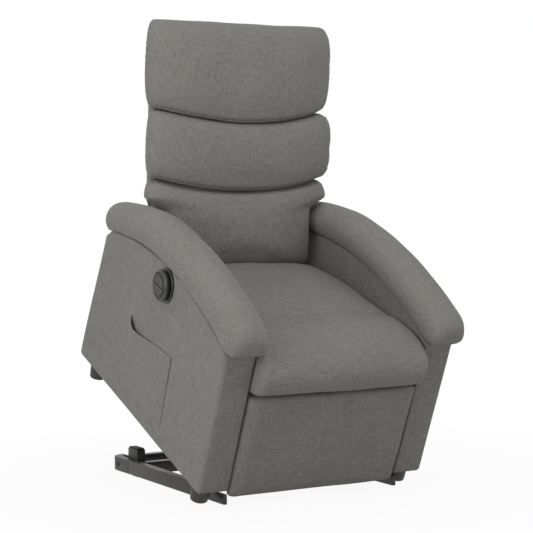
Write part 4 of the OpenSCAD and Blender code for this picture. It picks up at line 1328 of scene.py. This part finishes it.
class RECLINER_OT_hard_parts(bpy.types.Operator):
    """Frame, links, lift drive, posts and feet: the CAD shapes with their edges broken and their finishes"""

    bl_idname = "recliner.hard_parts"
    bl_label = "Hard parts"

    # node: (body, finish, slot, width of the broken edge)
    PARTS = {
        "base_rail_right": ("base", "brown steel", "frame_brown", 0.0040),
        "base_rail_left": ("base", "brown steel", "frame_brown", 0.0040),
        "base_corners": ("base", "brown plastic", "plastic_brown", 0.0055),
        "base_crossbars": ("base", "black steel", "steel_black", 0.0020),
        "hinge_brackets": ("base", "black steel", "steel_black", 0.0008),
        "rest_posts": ("base", "black steel", "steel_black", 0.0020),
        "post_pads": ("base", "rubber", "rubber", 0.0012),
        "floor_pads": ("base", "rubber", "rubber", 0.0006),
        "motor_clevis": ("base", "black steel", "steel_black", 0.0008),
        "motor_pin": ("base", "zinc", "zinc", 0.0006),
        "side_plate_right": ("chair", "black steel", "steel_black", 0.0007),
        "side_plate_left": ("chair", "black steel", "steel_black", 0.0007),
        "hinge_pins": ("chair", "zinc", "zinc", 0.0007),
        "seat_rail_right": ("chair", "plywood", "plywood", 0.0008),
        "seat_rail_left": ("chair", "plywood", "plywood", 0.0008),
        "seat_crossrails": ("chair", "plywood", "plywood", 0.0008),
        "nose_board": ("chair", "seat cloth", "fabric", 0.0015),
        "drive_crossbar": ("chair", "black steel", "steel_black", 0.0012),
        "rod_pin": ("chair", "zinc", "zinc", 0.0006),
        "rear_crosstube": ("chair", "black steel", "steel_black", 0.0018),
        "recline_brackets": ("chair", "black steel", "steel_black", 0.0007),
        "recline_pins": ("chair", "zinc", "zinc", 0.0006),
        "feet": ("chair", "brown plastic", "plastic_brown", 0.0030),
        "back_rails": ("backrest", "back cloth", "fabric", 0.0015),
        "back_crossrails": ("backrest", "plywood", "plywood", 0.0008),
        "back_brackets": ("backrest", "black steel", "steel_black", 0.0007),
        "rear_links": ("rear_linkage", "black steel", "steel_black", 0.0008),
        "link_crosstube": ("rear_linkage", "black steel", "steel_black", 0.0006),
        "link_pins": ("rear_linkage", "zinc", "zinc", 0.0006),
        "front_links": ("front_linkage", "black steel", "steel_black", 0.0008),
        "panel_pins": ("front_linkage", "zinc", "zinc", 0.0006),
        "footrest_brackets": ("footrest", "black steel", "steel_black", 0.0008),
        "footrest_board": ("footrest", "seat cloth", "fabric", 0.0015),
        "motor_housing": ("lift_motor", "motor plastic", "motor_plastic", 0.0030),
        "motor_can": ("lift_motor", "motor plastic", "motor_plastic", 0.0025),
        "lift_tube": ("lift_motor", "aluminium", "tube_aluminium", 0.0008),
        "lift_rod": ("rod", "chrome", "rod_chrome", 0.0006),
    }

    def execute(self, context):
        for node, (body, finish_name, slot_name, edge) in self.PARTS.items():
            piece = self.eased(node, material(finish_name), edge)
            finish(piece, body, slot_name, node)
        return {"FINISHED"}

    def eased(self, node, look, edge):
        """A copy of a CAD part with merged faces and broken edges."""
        net = bmesh.new()
        net.from_mesh(frame["nodes"][node].data)
        bmesh.ops.remove_doubles(net, verts=net.verts, dist=2e-5)
        bmesh.ops.dissolve_limit(net, angle_limit=math.radians(0.6), verts=net.verts, edges=net.edges)
        mesh = bpy.data.meshes.new("eased_" + node)
        net.to_mesh(mesh)
        net.free()
        piece = bpy.data.objects.new("eased_" + node, mesh)
        bpy.context.scene.collection.objects.link(piece)
        mesh.materials.clear()
        mesh.materials.append(look)
        modifier(piece, "BEVEL", width=edge, segments=3, limit_method="ANGLE", angle_limit=math.radians(34),
                 use_clamp_overlap=True, harden_normals=False)
        bake_modifiers(piece)
        piece.data.shade_smooth()
        piece.data.set_sharp_from_angle(angle=math.radians(32))
        return piece


# ---- What repeats: springs, bolts and stitches, made by Geometry Nodes ----


def new_tree(name, sizes):
    """A geometry node tree with geometry sockets, named inputs for its sizes and a material, and the node at its
    input end.
    """
    tree = bpy.data.node_groups.new(name, "GeometryNodeTree")
    tree.interface.new_socket("Geometry", in_out="INPUT", socket_type="NodeSocketGeometry")
    tree.interface.new_socket("Geometry", in_out="OUTPUT", socket_type="NodeSocketGeometry")
    for label, kind, value in sizes:
        socket = tree.interface.new_socket(label, in_out="INPUT", socket_type="NodeSocket" + kind)
        socket.default_value = value
    tree.interface.new_socket("Material", in_out="INPUT", socket_type="NodeSocketMaterial")
    return tree, add(tree, "NodeGroupInput").outputs


def close_tree(tree, geometry, look):
    """Ends a tree in real geometry with its material."""
    real = add(tree, "GeometryNodeRealizeInstances", {"Geometry": geometry})
    shaded = add(tree, "GeometryNodeSetMaterial", {"Geometry": real.outputs[0], "Material": look})
    smooth = add(tree, "GeometryNodeSetShadeSmooth", {"Geometry": shaded.outputs[0]})
    add(tree, "NodeGroupOutput", {"Geometry": smooth.outputs[0]})
    return tree


def grown(name, tree, carrier, look, **values):
    """A plain mesh object made by a tree from a carrier mesh, with its inputs set by identifier."""
    piece = bpy.data.objects.new(name, carrier)
    bpy.context.scene.collection.objects.link(piece)
    made = piece.modifiers.new("Nodes", "NODES")
    made.node_group = tree
    for item in tree.interface.items_tree:
        key = item.name.replace(" ", "_").lower()
        if item.in_out == "INPUT" and key in values:
            made[item.identifier] = values[key]
        elif item.in_out == "INPUT" and item.name == "Material":
            made[item.identifier] = look
    bake_modifiers(piece)
    if not len(piece.data.polygons):
        raise RuntimeError(name + " came out empty")
    return piece


def points_mesh(name, points, directions, lines=()):
    """A mesh of bare points, each with the direction that what grows there faces."""
    mesh = bpy.data.meshes.new(name)
    mesh.from_pydata([tuple(map(float, p)) for p in points], lines, [])
    facing = mesh.attributes.new("facing", "FLOAT_VECTOR", "POINT")
    facing.data.foreach_set("vector", np.asarray(directions, float).ravel())
    return mesh


def spring_tree():
    """Zigzag springs side by side: wire bent to and fro along Y, flat in X and Y."""
    tree, given = new_tree("Zigzag springs", [
        ("Count", "Int", 5), ("Spacing", "Float", 0.09), ("Length", "Float", 0.6), ("Swing", "Float", 0.018),
        ("Turns", "Float", 11.0), ("Bulge", "Float", 0.006), ("Wire", "Float", 0.002)])
    along = add(tree, "ShaderNodeCombineXYZ", {"Y": given["Length"]})
    line = add(tree, "GeometryNodeCurvePrimitiveLine", {"End": along.outputs[0]})
    fine = add(tree, "GeometryNodeResampleCurve", {"Curve": line.outputs[0], "Count": 300})
    share = add(tree, "GeometryNodeSplineParameter").outputs["Factor"]
    turned = add(tree, "ShaderNodeMath", {0: share, 1: given["Turns"]}, operation="MULTIPLY")
    angle = add(tree, "ShaderNodeMath", {0: turned.outputs[0], 1: 2 * math.pi}, operation="MULTIPLY")
    double = add(tree, "ShaderNodeMath", {0: angle.outputs[0], 1: 2.0}, operation="MULTIPLY")
    to_side = add(tree, "ShaderNodeMath", {0: angle.outputs[0]}, operation="SINE")
    loop = add(tree, "ShaderNodeMath", {0: double.outputs[0]}, operation="SINE")
    x = add(tree, "ShaderNodeMath", {0: to_side.outputs[0], 1: given["Swing"]}, operation="MULTIPLY")
    y = add(tree, "ShaderNodeMath", {0: loop.outputs[0], 1: given["Bulge"]}, operation="MULTIPLY")
    shift = add(tree, "ShaderNodeCombineXYZ", {"X": x.outputs[0], "Y": y.outputs[0]})
    bent = add(tree, "GeometryNodeSetPosition", {"Geometry": fine.outputs[0], "Offset": shift.outputs[0]})
    round_wire = add(tree, "GeometryNodeCurvePrimitiveCircle", {"Resolution": 8, "Radius": given["Wire"]})
    wire = add(tree, "GeometryNodeCurveToMesh",
               {"Curve": bent.outputs[0], "Profile Curve": round_wire.outputs[0], "Fill Caps": True})
    last = add(tree, "ShaderNodeMath", {0: given["Count"], 1: 1.0}, operation="SUBTRACT")
    half = add(tree, "ShaderNodeMath", {0: last.outputs[0], 1: -0.5}, operation="MULTIPLY")
    start_x = add(tree, "ShaderNodeMath", {0: half.outputs[0], 1: given["Spacing"]}, operation="MULTIPLY")
    start = add(tree, "ShaderNodeCombineXYZ", {"X": start_x.outputs[0]})
    step = add(tree, "ShaderNodeCombineXYZ", {"X": given["Spacing"]})
    row = add(tree, "GeometryNodeMeshLine", {"Count": given["Count"], "Start Location": start.outputs[0],
                                             "Offset": step.outputs[0]})
    many = add(tree, "GeometryNodeInstanceOnPoints", {"Points": row.outputs[0], "Instance": wire.outputs[0]})
    return close_tree(tree, many.outputs[0], given["Material"])


def bolt_tree():
    """Hexagon heads on washers, one on each point, facing as the point says."""
    tree, given = new_tree("Hexagon bolts", [
        ("Across", "Float", 0.013), ("Head", "Float", 0.0055), ("Washer", "Float", 0.0155),
        ("Washer thickness", "Float", 0.0014)])
    head_r = add(tree, "ShaderNodeMath", {0: given["Across"], 1: 0.577}, operation="MULTIPLY")
    chamfer_r = add(tree, "ShaderNodeMath", {0: head_r.outputs[0], 1: 0.86}, operation="MULTIPLY")
    body_h = add(tree, "ShaderNodeMath", {0: given["Head"], 1: 0.8}, operation="MULTIPLY")
    cap_h = add(tree, "ShaderNodeMath", {0: given["Head"], 1: 0.2}, operation="MULTIPLY")
    washer_r = add(tree, "ShaderNodeMath", {0: given["Washer"], 1: 0.5}, operation="MULTIPLY")
    washer_top_r = add(tree, "ShaderNodeMath", {0: washer_r.outputs[0], 1: 0.95}, operation="MULTIPLY")
    parts = []
    base = add(tree, "GeometryNodeMeshCone", {"Vertices": 24, "Radius Bottom": washer_r.outputs[0],
                                              "Radius Top": washer_top_r.outputs[0],
                                              "Depth": given["Washer thickness"]}, fill_type="TRIANGLE_FAN")
    parts.append(base.outputs["Mesh"])
    body = add(tree, "GeometryNodeMeshCone", {"Vertices": 6, "Radius Bottom": head_r.outputs[0],
                                              "Radius Top": head_r.outputs[0], "Depth": body_h.outputs[0]},
               fill_type="TRIANGLE_FAN")
    lift = add(tree, "ShaderNodeCombineXYZ", {"Z": given["Washer thickness"]})
    raised = add(tree, "GeometryNodeTransform",
                 {"Geometry": body.outputs["Mesh"], "Translation": lift.outputs[0]})
    parts.append(raised.outputs[0])
    cap = add(tree, "GeometryNodeMeshCone", {"Vertices": 6, "Radius Bottom": head_r.outputs[0],
                                             "Radius Top": chamfer_r.outputs[0], "Depth": cap_h.outputs[0]},
              fill_type="TRIANGLE_FAN")
    top_z = add(tree, "ShaderNodeMath", {0: given["Washer thickness"], 1: body_h.outputs[0]}, operation="ADD")
    top = add(tree, "ShaderNodeCombineXYZ", {"Z": top_z.outputs[0]})
    capped = add(tree, "GeometryNodeTransform",
                 {"Geometry": cap.outputs["Mesh"], "Translation": top.outputs[0]})
    parts.append(capped.outputs[0])
    joined = add(tree, "GeometryNodeJoinGeometry")
    for part in reversed(parts):
        tree.links.new(part, joined.inputs[0])
    facing = add(tree, "GeometryNodeInputNamedAttribute", {"Name": "facing"}, data_type="FLOAT_VECTOR")
    turn = add(tree, "FunctionNodeAlignRotationToVector", {"Vector": facing.outputs["Attribute"]}, axis="Z")
    many = add(tree, "GeometryNodeInstanceOnPoints",
               {"Points": given["Geometry"], "Instance": joined.outputs[0], "Rotation": turn.outputs[0]})
    flat = close_tree(tree, many.outputs[0], given["Material"])
    return flat


def stitch_tree():
    """A row of stitches along each line: short threads that bow out and dive back into the cloth."""
    tree, given = new_tree("Stitches", [
        ("Stitch", "Float", 0.0042), ("Gap", "Float", 0.0016), ("Thread", "Float", 0.00042),
        ("Bow", "Float", 0.0004)])
    end = add(tree, "ShaderNodeCombineXYZ", {"X": given["Stitch"]})
    line = add(tree, "GeometryNodeCurvePrimitiveLine", {"End": end.outputs[0]})
    fine = add(tree, "GeometryNodeResampleCurve", {"Curve": line.outputs[0], "Count": 6})
    share = add(tree, "GeometryNodeSplineParameter").outputs["Factor"]
    angle = add(tree, "ShaderNodeMath", {0: share, 1: math.pi}, operation="MULTIPLY")
    arch = add(tree, "ShaderNodeMath", {0: angle.outputs[0]}, operation="SINE")
    height = add(tree, "ShaderNodeMath", {0: arch.outputs[0], 1: given["Bow"]}, operation="MULTIPLY")
    offset = add(tree, "ShaderNodeCombineXYZ", {"Z": height.outputs[0]})
    bowed = add(tree, "GeometryNodeSetPosition", {"Geometry": fine.outputs[0], "Offset": offset.outputs[0]})
    ply = add(tree, "GeometryNodeCurvePrimitiveCircle", {"Resolution": 6, "Radius": given["Thread"]})
    thread = add(tree, "GeometryNodeCurveToMesh", {"Curve": bowed.outputs[0], "Profile Curve": ply.outputs[0],
                                                   "Fill Caps": True})
    path = add(tree, "GeometryNodeMeshToCurve", {"Mesh": given["Geometry"]})
    pitch = add(tree, "ShaderNodeMath", {0: given["Stitch"], 1: given["Gap"]}, operation="ADD")
    spaced = add(tree, "GeometryNodeResampleCurve", {"Curve": path.outputs[0], "Length": pitch.outputs[0]},
                 mode="LENGTH")
    tangent = add(tree, "GeometryNodeInputTangent").outputs[0]
    facing = add(tree, "GeometryNodeInputNamedAttribute", {"Name": "facing"}, data_type="FLOAT_VECTOR")
    run = add(tree, "FunctionNodeAlignRotationToVector", {"Vector": tangent}, axis="X")
    roll = add(tree, "FunctionNodeAlignRotationToVector", {"Rotation": run.outputs[0],
                                                           "Vector": facing.outputs["Attribute"]},
               axis="Z", pivot_axis="X")
    many = add(tree, "GeometryNodeInstanceOnPoints",
               {"Points": spaced.outputs[0], "Instance": thread.outputs[0], "Rotation": roll.outputs[0]})
    return close_tree(tree, many.outputs[0], given["Material"])


class RECLINER_OT_springs(bpy.types.Operator):
    """Zigzag springs under the seat and across the back"""

    bl_idname = "recliner.springs"
    bl_label = "Springs"

    def execute(self, context):
        tree = spring_tree()
        rows = (("seat_springs", "chair", CHAIR, True), ("back_springs", "backrest", BACK, False))
        for node, body, here, lying in rows:
            low, high = inside_box(node, here)
            start, end = (low[1], high[1]) if lying else (low[2], high[2])
            swing = 0.018 if not lying else 0.020
            spacing = (high[0] - low[0] - 2 * swing - 0.004) / 4
            carrier = bpy.data.meshes.new(node + "_wire")
            piece = grown(node + "_wire", tree, carrier, material("spring wire"), count=5, spacing=spacing,
                          length=end - start - 0.012, swing=swing - 0.002, turns=round((end - start) / 0.052))
            if lying:
                matrix = here @ Matrix.Translation((0, start + 0.006, (low[2] + high[2]) / 2))
            else:
                matrix = here @ Matrix.Translation((0, (low[1] + high[1]) / 2, start + 0.006)) \
                    @ Matrix.Rotation(math.pi / 2, 4, "X")
            place(piece, matrix)
            finish(piece, body, "spring_steel", node)
        return {"FINISHED"}


class RECLINER_OT_bolts(bpy.types.Operator):
    """Hexagon bolts that hold the base's corners"""

    bl_idname = "recliner.bolts"
    bl_label = "Bolts"

    def execute(self, context):
        head = 0.0069
        points, facing = [], []
        cad = cloud(frame["nodes"]["corner_bolts"])
        for side in (-1, 1):
            mine = cad[cad[:, 0] * side > 0]
            face = np.abs(mine[:, 0]).max()
            root = np.abs(mine[:, 0]).min()
            spots = self.centres(mine[:, 1:])
            for spot in spots:
                points.append((side * max(face - head, root), *spot))
                facing.append((side, 0, 0))
        carrier = points_mesh("corner_bolts_heads", points, facing)
        piece = grown("corner_bolts_heads", bolt_tree(), carrier, material("black steel"))
        piece.data.set_sharp_from_angle(angle=math.radians(30))
        finish(piece, "base", "steel_black", "corner_bolts")
        return {"FINISHED"}

    def centres(self, flat):
        """Middle of each cluster of points."""
        left = list(map(tuple, flat))
        found = []
        while left:
            group = [left.pop()]
            grew = True
            while grew:
                near = [p for p in left if min(math.dist(p, q) for q in group) < 0.010]
                grew = bool(near)
                group += near
                left = [p for p in left if p not in near]
            group = np.array(group)
            found.append((group.min(axis=0) + group.max(axis=0)) / 2)
        return found


class RECLINER_OT_stitches(bpy.types.Operator):
    """Rows of stitches along the pocket's front edge and on the cover behind the back"""

    bl_idname = "recliner.stitches"
    bl_label = "Stitches"

    def execute(self, context):
        tree = stitch_tree()
        self.sewn("side_pocket_stitches", "chair", "side_pocket_cloth", CHAIR, tree,
                  [[(-0.42, 0.2875, z) for z in np.linspace(0.300, 0.118, 40)]], (1, 0, 0))
        seams = []
        for side in (-1, 1):
            for offset in (-0.005, 0.005):
                seams.append([(side * 0.214 + offset, 0.12, z) for z in np.linspace(0.235, 0.715, 120)])
        for offset in (-0.005, 0.005):
            seams.append([(x, 0.12, 0.255 + offset) for x in np.linspace(-0.204, 0.204, 120)])
        self.sewn("back_cover_stitches", "backrest", "padded_back_cover", BACK, tree, seams, (0, -1, 0))
        return {"FINISHED"}

    def sewn(self, name, body, cloth, here, tree, lines, towards):
        """Drops each line onto the cloth and grows stitches along it."""
        target = bpy.data.objects[cloth]
        bpy.context.view_layer.update()
        direction = (here.to_3x3() @ Vector(towards)).normalized()
        points, facing, edges = [], [], []
        for line in lines:
            start = len(points)
            for spot in line:
                hit, at, out, _ = target.ray_cast(here @ Vector(spot), direction)
                if hit:
                    points.append(at + out * 0.0001)
                    facing.append(out)
            edges += [(i, i + 1) for i in range(start, len(points) - 1)]
        if len(points) < 10:
            raise RuntimeError(name + " found no cloth")
        piece = grown(name, tree, points_mesh(name, points, facing, edges), material("thread"))
        finish(piece, body, "fabric")


# ---- Studio ----


class RECLINER_OT_studio(bpy.types.Operator):
    """Camera, pale floor, white surroundings and soft lamps"""

    bl_idname = "recliner.studio"
    bl_label = "Studio"

    def execute(self, context):
        self.camera(context)
        self.floor()
        self.world(context)
        self.lamp(context, "Key lamp", (-4.0, -1.0, 1.3), 66, 1.8)
        self.lamp(context, "Top lamp", (-0.3, -2.0, 3.2), 32, 1.6)
        self.lamp(context, "Front lamp", (0.9, -4.2, 0.6), 22, 2.0)
        self.lamp(context, "Rear lamp", (1.6, 3.2, 2.2), 14, 2.2)
        context.scene.view_settings.view_transform = "Standard"
        return {"FINISHED"}

    def camera(self, context):
        data = bpy.data.cameras.new("Camera")
        data.lens = 108.73
        data.sensor_width = 36
        data.clip_end = 100
        camera = bpy.data.objects.new("Camera", data)
        camera.location = (-2.314, -4.148, 0.826)
        look = Vector((0.4901, 0.8706, -0.0399))
        lean = Matrix.Rotation(-0.0104, 3, "Z")
        camera.rotation_euler = (look.to_track_quat("-Z", "Y").to_matrix() @ lean).to_euler()
        context.scene.collection.objects.link(camera)
        context.scene.camera = camera

    def floor(self):
        reach = 9.0
        steps = 12
        points, faces = [], []
        for i in range(steps + 1):
            for j in range(steps + 1):
                points.append((reach * (2 * j / steps - 1), reach * (2 * i / steps - 1), -0.0004))
        for i in range(steps):
            for j in range(steps):
                a = i * (steps + 1) + j
                faces.append((a, a + 1, a + steps + 2, a + steps + 1))
        floor = mesh_piece("studio_floor", points, faces, self.floor_material())

    def floor_material(self):
        """Matt white paper, which keeps the chair's shadow and is plain white away from it."""
        paper, tree, shader = new_material("Matt white paper", roughness=0.95, specular_ior_level=0.1)
        coords = add(tree, "ShaderNodeTexCoord").outputs["Object"]
        fibres = streaks(tree, coords, (120, 120, 120), 2.0)
        tree.links.new(ramp(tree, fibres, [(0.3, "#c6c6c5"), (0.7, "#cacac9")]), shader.inputs["Base Color"])
        white = add(tree, "ShaderNodeEmission", {"Color": (1, 1, 1, 1), "Strength": 1.0})
        away = add(tree, "ShaderNodeVectorMath", {0: coords}, operation="LENGTH")
        far = add(tree, "ShaderNodeMapRange", {"Value": away.outputs["Value"], "From Min": 0.5, "From Max": 1.4,
                                               "To Min": 0.93, "To Max": 1.0})
        seen = add(tree, "ShaderNodeLightPath").outputs["Is Camera Ray"]
        glossy = add(tree, "ShaderNodeLightPath").outputs["Is Glossy Ray"]
        through = add(tree, "ShaderNodeLightPath").outputs["Is Transmission Ray"]
        either = add(tree, "ShaderNodeMath", {0: seen, 1: glossy}, operation="MAXIMUM")
        either = add(tree, "ShaderNodeMath", {0: either.outputs[0], 1: through}, operation="MAXIMUM")
        share = add(tree, "ShaderNodeMath", {0: far.outputs[0], 1: either.outputs[0]}, operation="MULTIPLY")
        mixed = add(tree, "ShaderNodeMixShader",
                    {"Fac": share.outputs[0], 1: shader.outputs[0], 2: white.outputs[0]})
        tree.links.new(mixed.outputs[0], tree.nodes["Material Output"].inputs["Surface"])
        return paper

    def world(self, context):
        world = bpy.data.worlds.new("Studio surroundings")
        world.use_nodes = True
        tree = world.node_tree
        plain = tree.nodes["Background"]
        plain.inputs["Color"].default_value = (1, 1, 1, 1)
        plain.inputs["Strength"].default_value = 0.54
        white = add(tree, "ShaderNodeBackground", {"Color": (1, 1, 1, 1), "Strength": 1.0})
        rays = add(tree, "ShaderNodeLightPath").outputs
        either = add(tree, "ShaderNodeMath", {0: rays["Is Camera Ray"], 1: rays["Is Glossy Ray"]},
                     operation="MAXIMUM")
        either = add(tree, "ShaderNodeMath", {0: either.outputs[0], 1: rays["Is Transmission Ray"]},
                     operation="MAXIMUM")
        mixed = add(tree, "ShaderNodeMixShader",
                    {"Fac": either.outputs[0], 1: plain.outputs[0], 2: white.outputs[0]})
        tree.links.new(mixed.outputs[0], tree.nodes["World Output"].inputs["Surface"])
        context.scene.world = world

    def lamp(self, context, name, spot, power, size):
        data = bpy.data.lights.new(name, "AREA")
        data.energy = power
        data.shape = "DISK"
        data.size = size
        lamp = bpy.data.objects.new(name, data)
        lamp.location = spot
        lamp.rotation_euler = (Vector((0, 0, 0.5)) - Vector(spot)).to_track_quat("-Z", "Y").to_euler()
        context.scene.collection.objects.link(lamp)


# ---- Add-on ----

OPERATORS = (
    RECLINER_OT_back_cushions,
    RECLINER_OT_seat_cushion,
    RECLINER_OT_arm_panels,
    RECLINER_OT_arm_rolls,
    RECLINER_OT_side_pocket,
    RECLINER_OT_footrest_pad,
    RECLINER_OT_back_covers,
    RECLINER_OT_hand_control,
    RECLINER_OT_hard_parts,
    RECLINER_OT_springs,
    RECLINER_OT_bolts,
    RECLINER_OT_stitches,
    RECLINER_OT_studio,
)


class RECLINER_PT_parts(bpy.types.Panel):
    """Lists the chair's sizes and the steps that build it"""

    bl_idname = "RECLINER_PT_parts"
    bl_label = "Lift recliner chair"
    bl_space_type = "VIEW_3D"
    bl_region_type = "UI"
    bl_category = "Recliner"

    def draw(self, context):
        layout = self.layout
        for name, group in GROUPS.items():
            box = layout.box()
            for key in group.__annotations__:
                box.prop(getattr(context.scene, name), key)
        for operator in OPERATORS:
            layout.operator(operator.bl_idname)


CLASSES = (*GROUPS.values(), *OPERATORS, RECLINER_PT_parts)


def register():
    for cls in CLASSES:
        bpy.utils.register_class(cls)
    for name, group in GROUPS.items():
        setattr(bpy.types.Scene, name, bpy.props.PointerProperty(type=group))


def unregister():
    for name in GROUPS:
        delattr(bpy.types.Scene, name)
    for cls in reversed(CLASSES):
        bpy.utils.unregister_class(cls)


def main():
    register()
    for operator in OPERATORS:
        step = getattr(bpy.ops.recliner, operator.bl_idname.split(".")[1])
        if step() != {"FINISHED"}:
            raise RuntimeError(operator.bl_label + " did not finish")


if __name__ == "__main__":
    main()
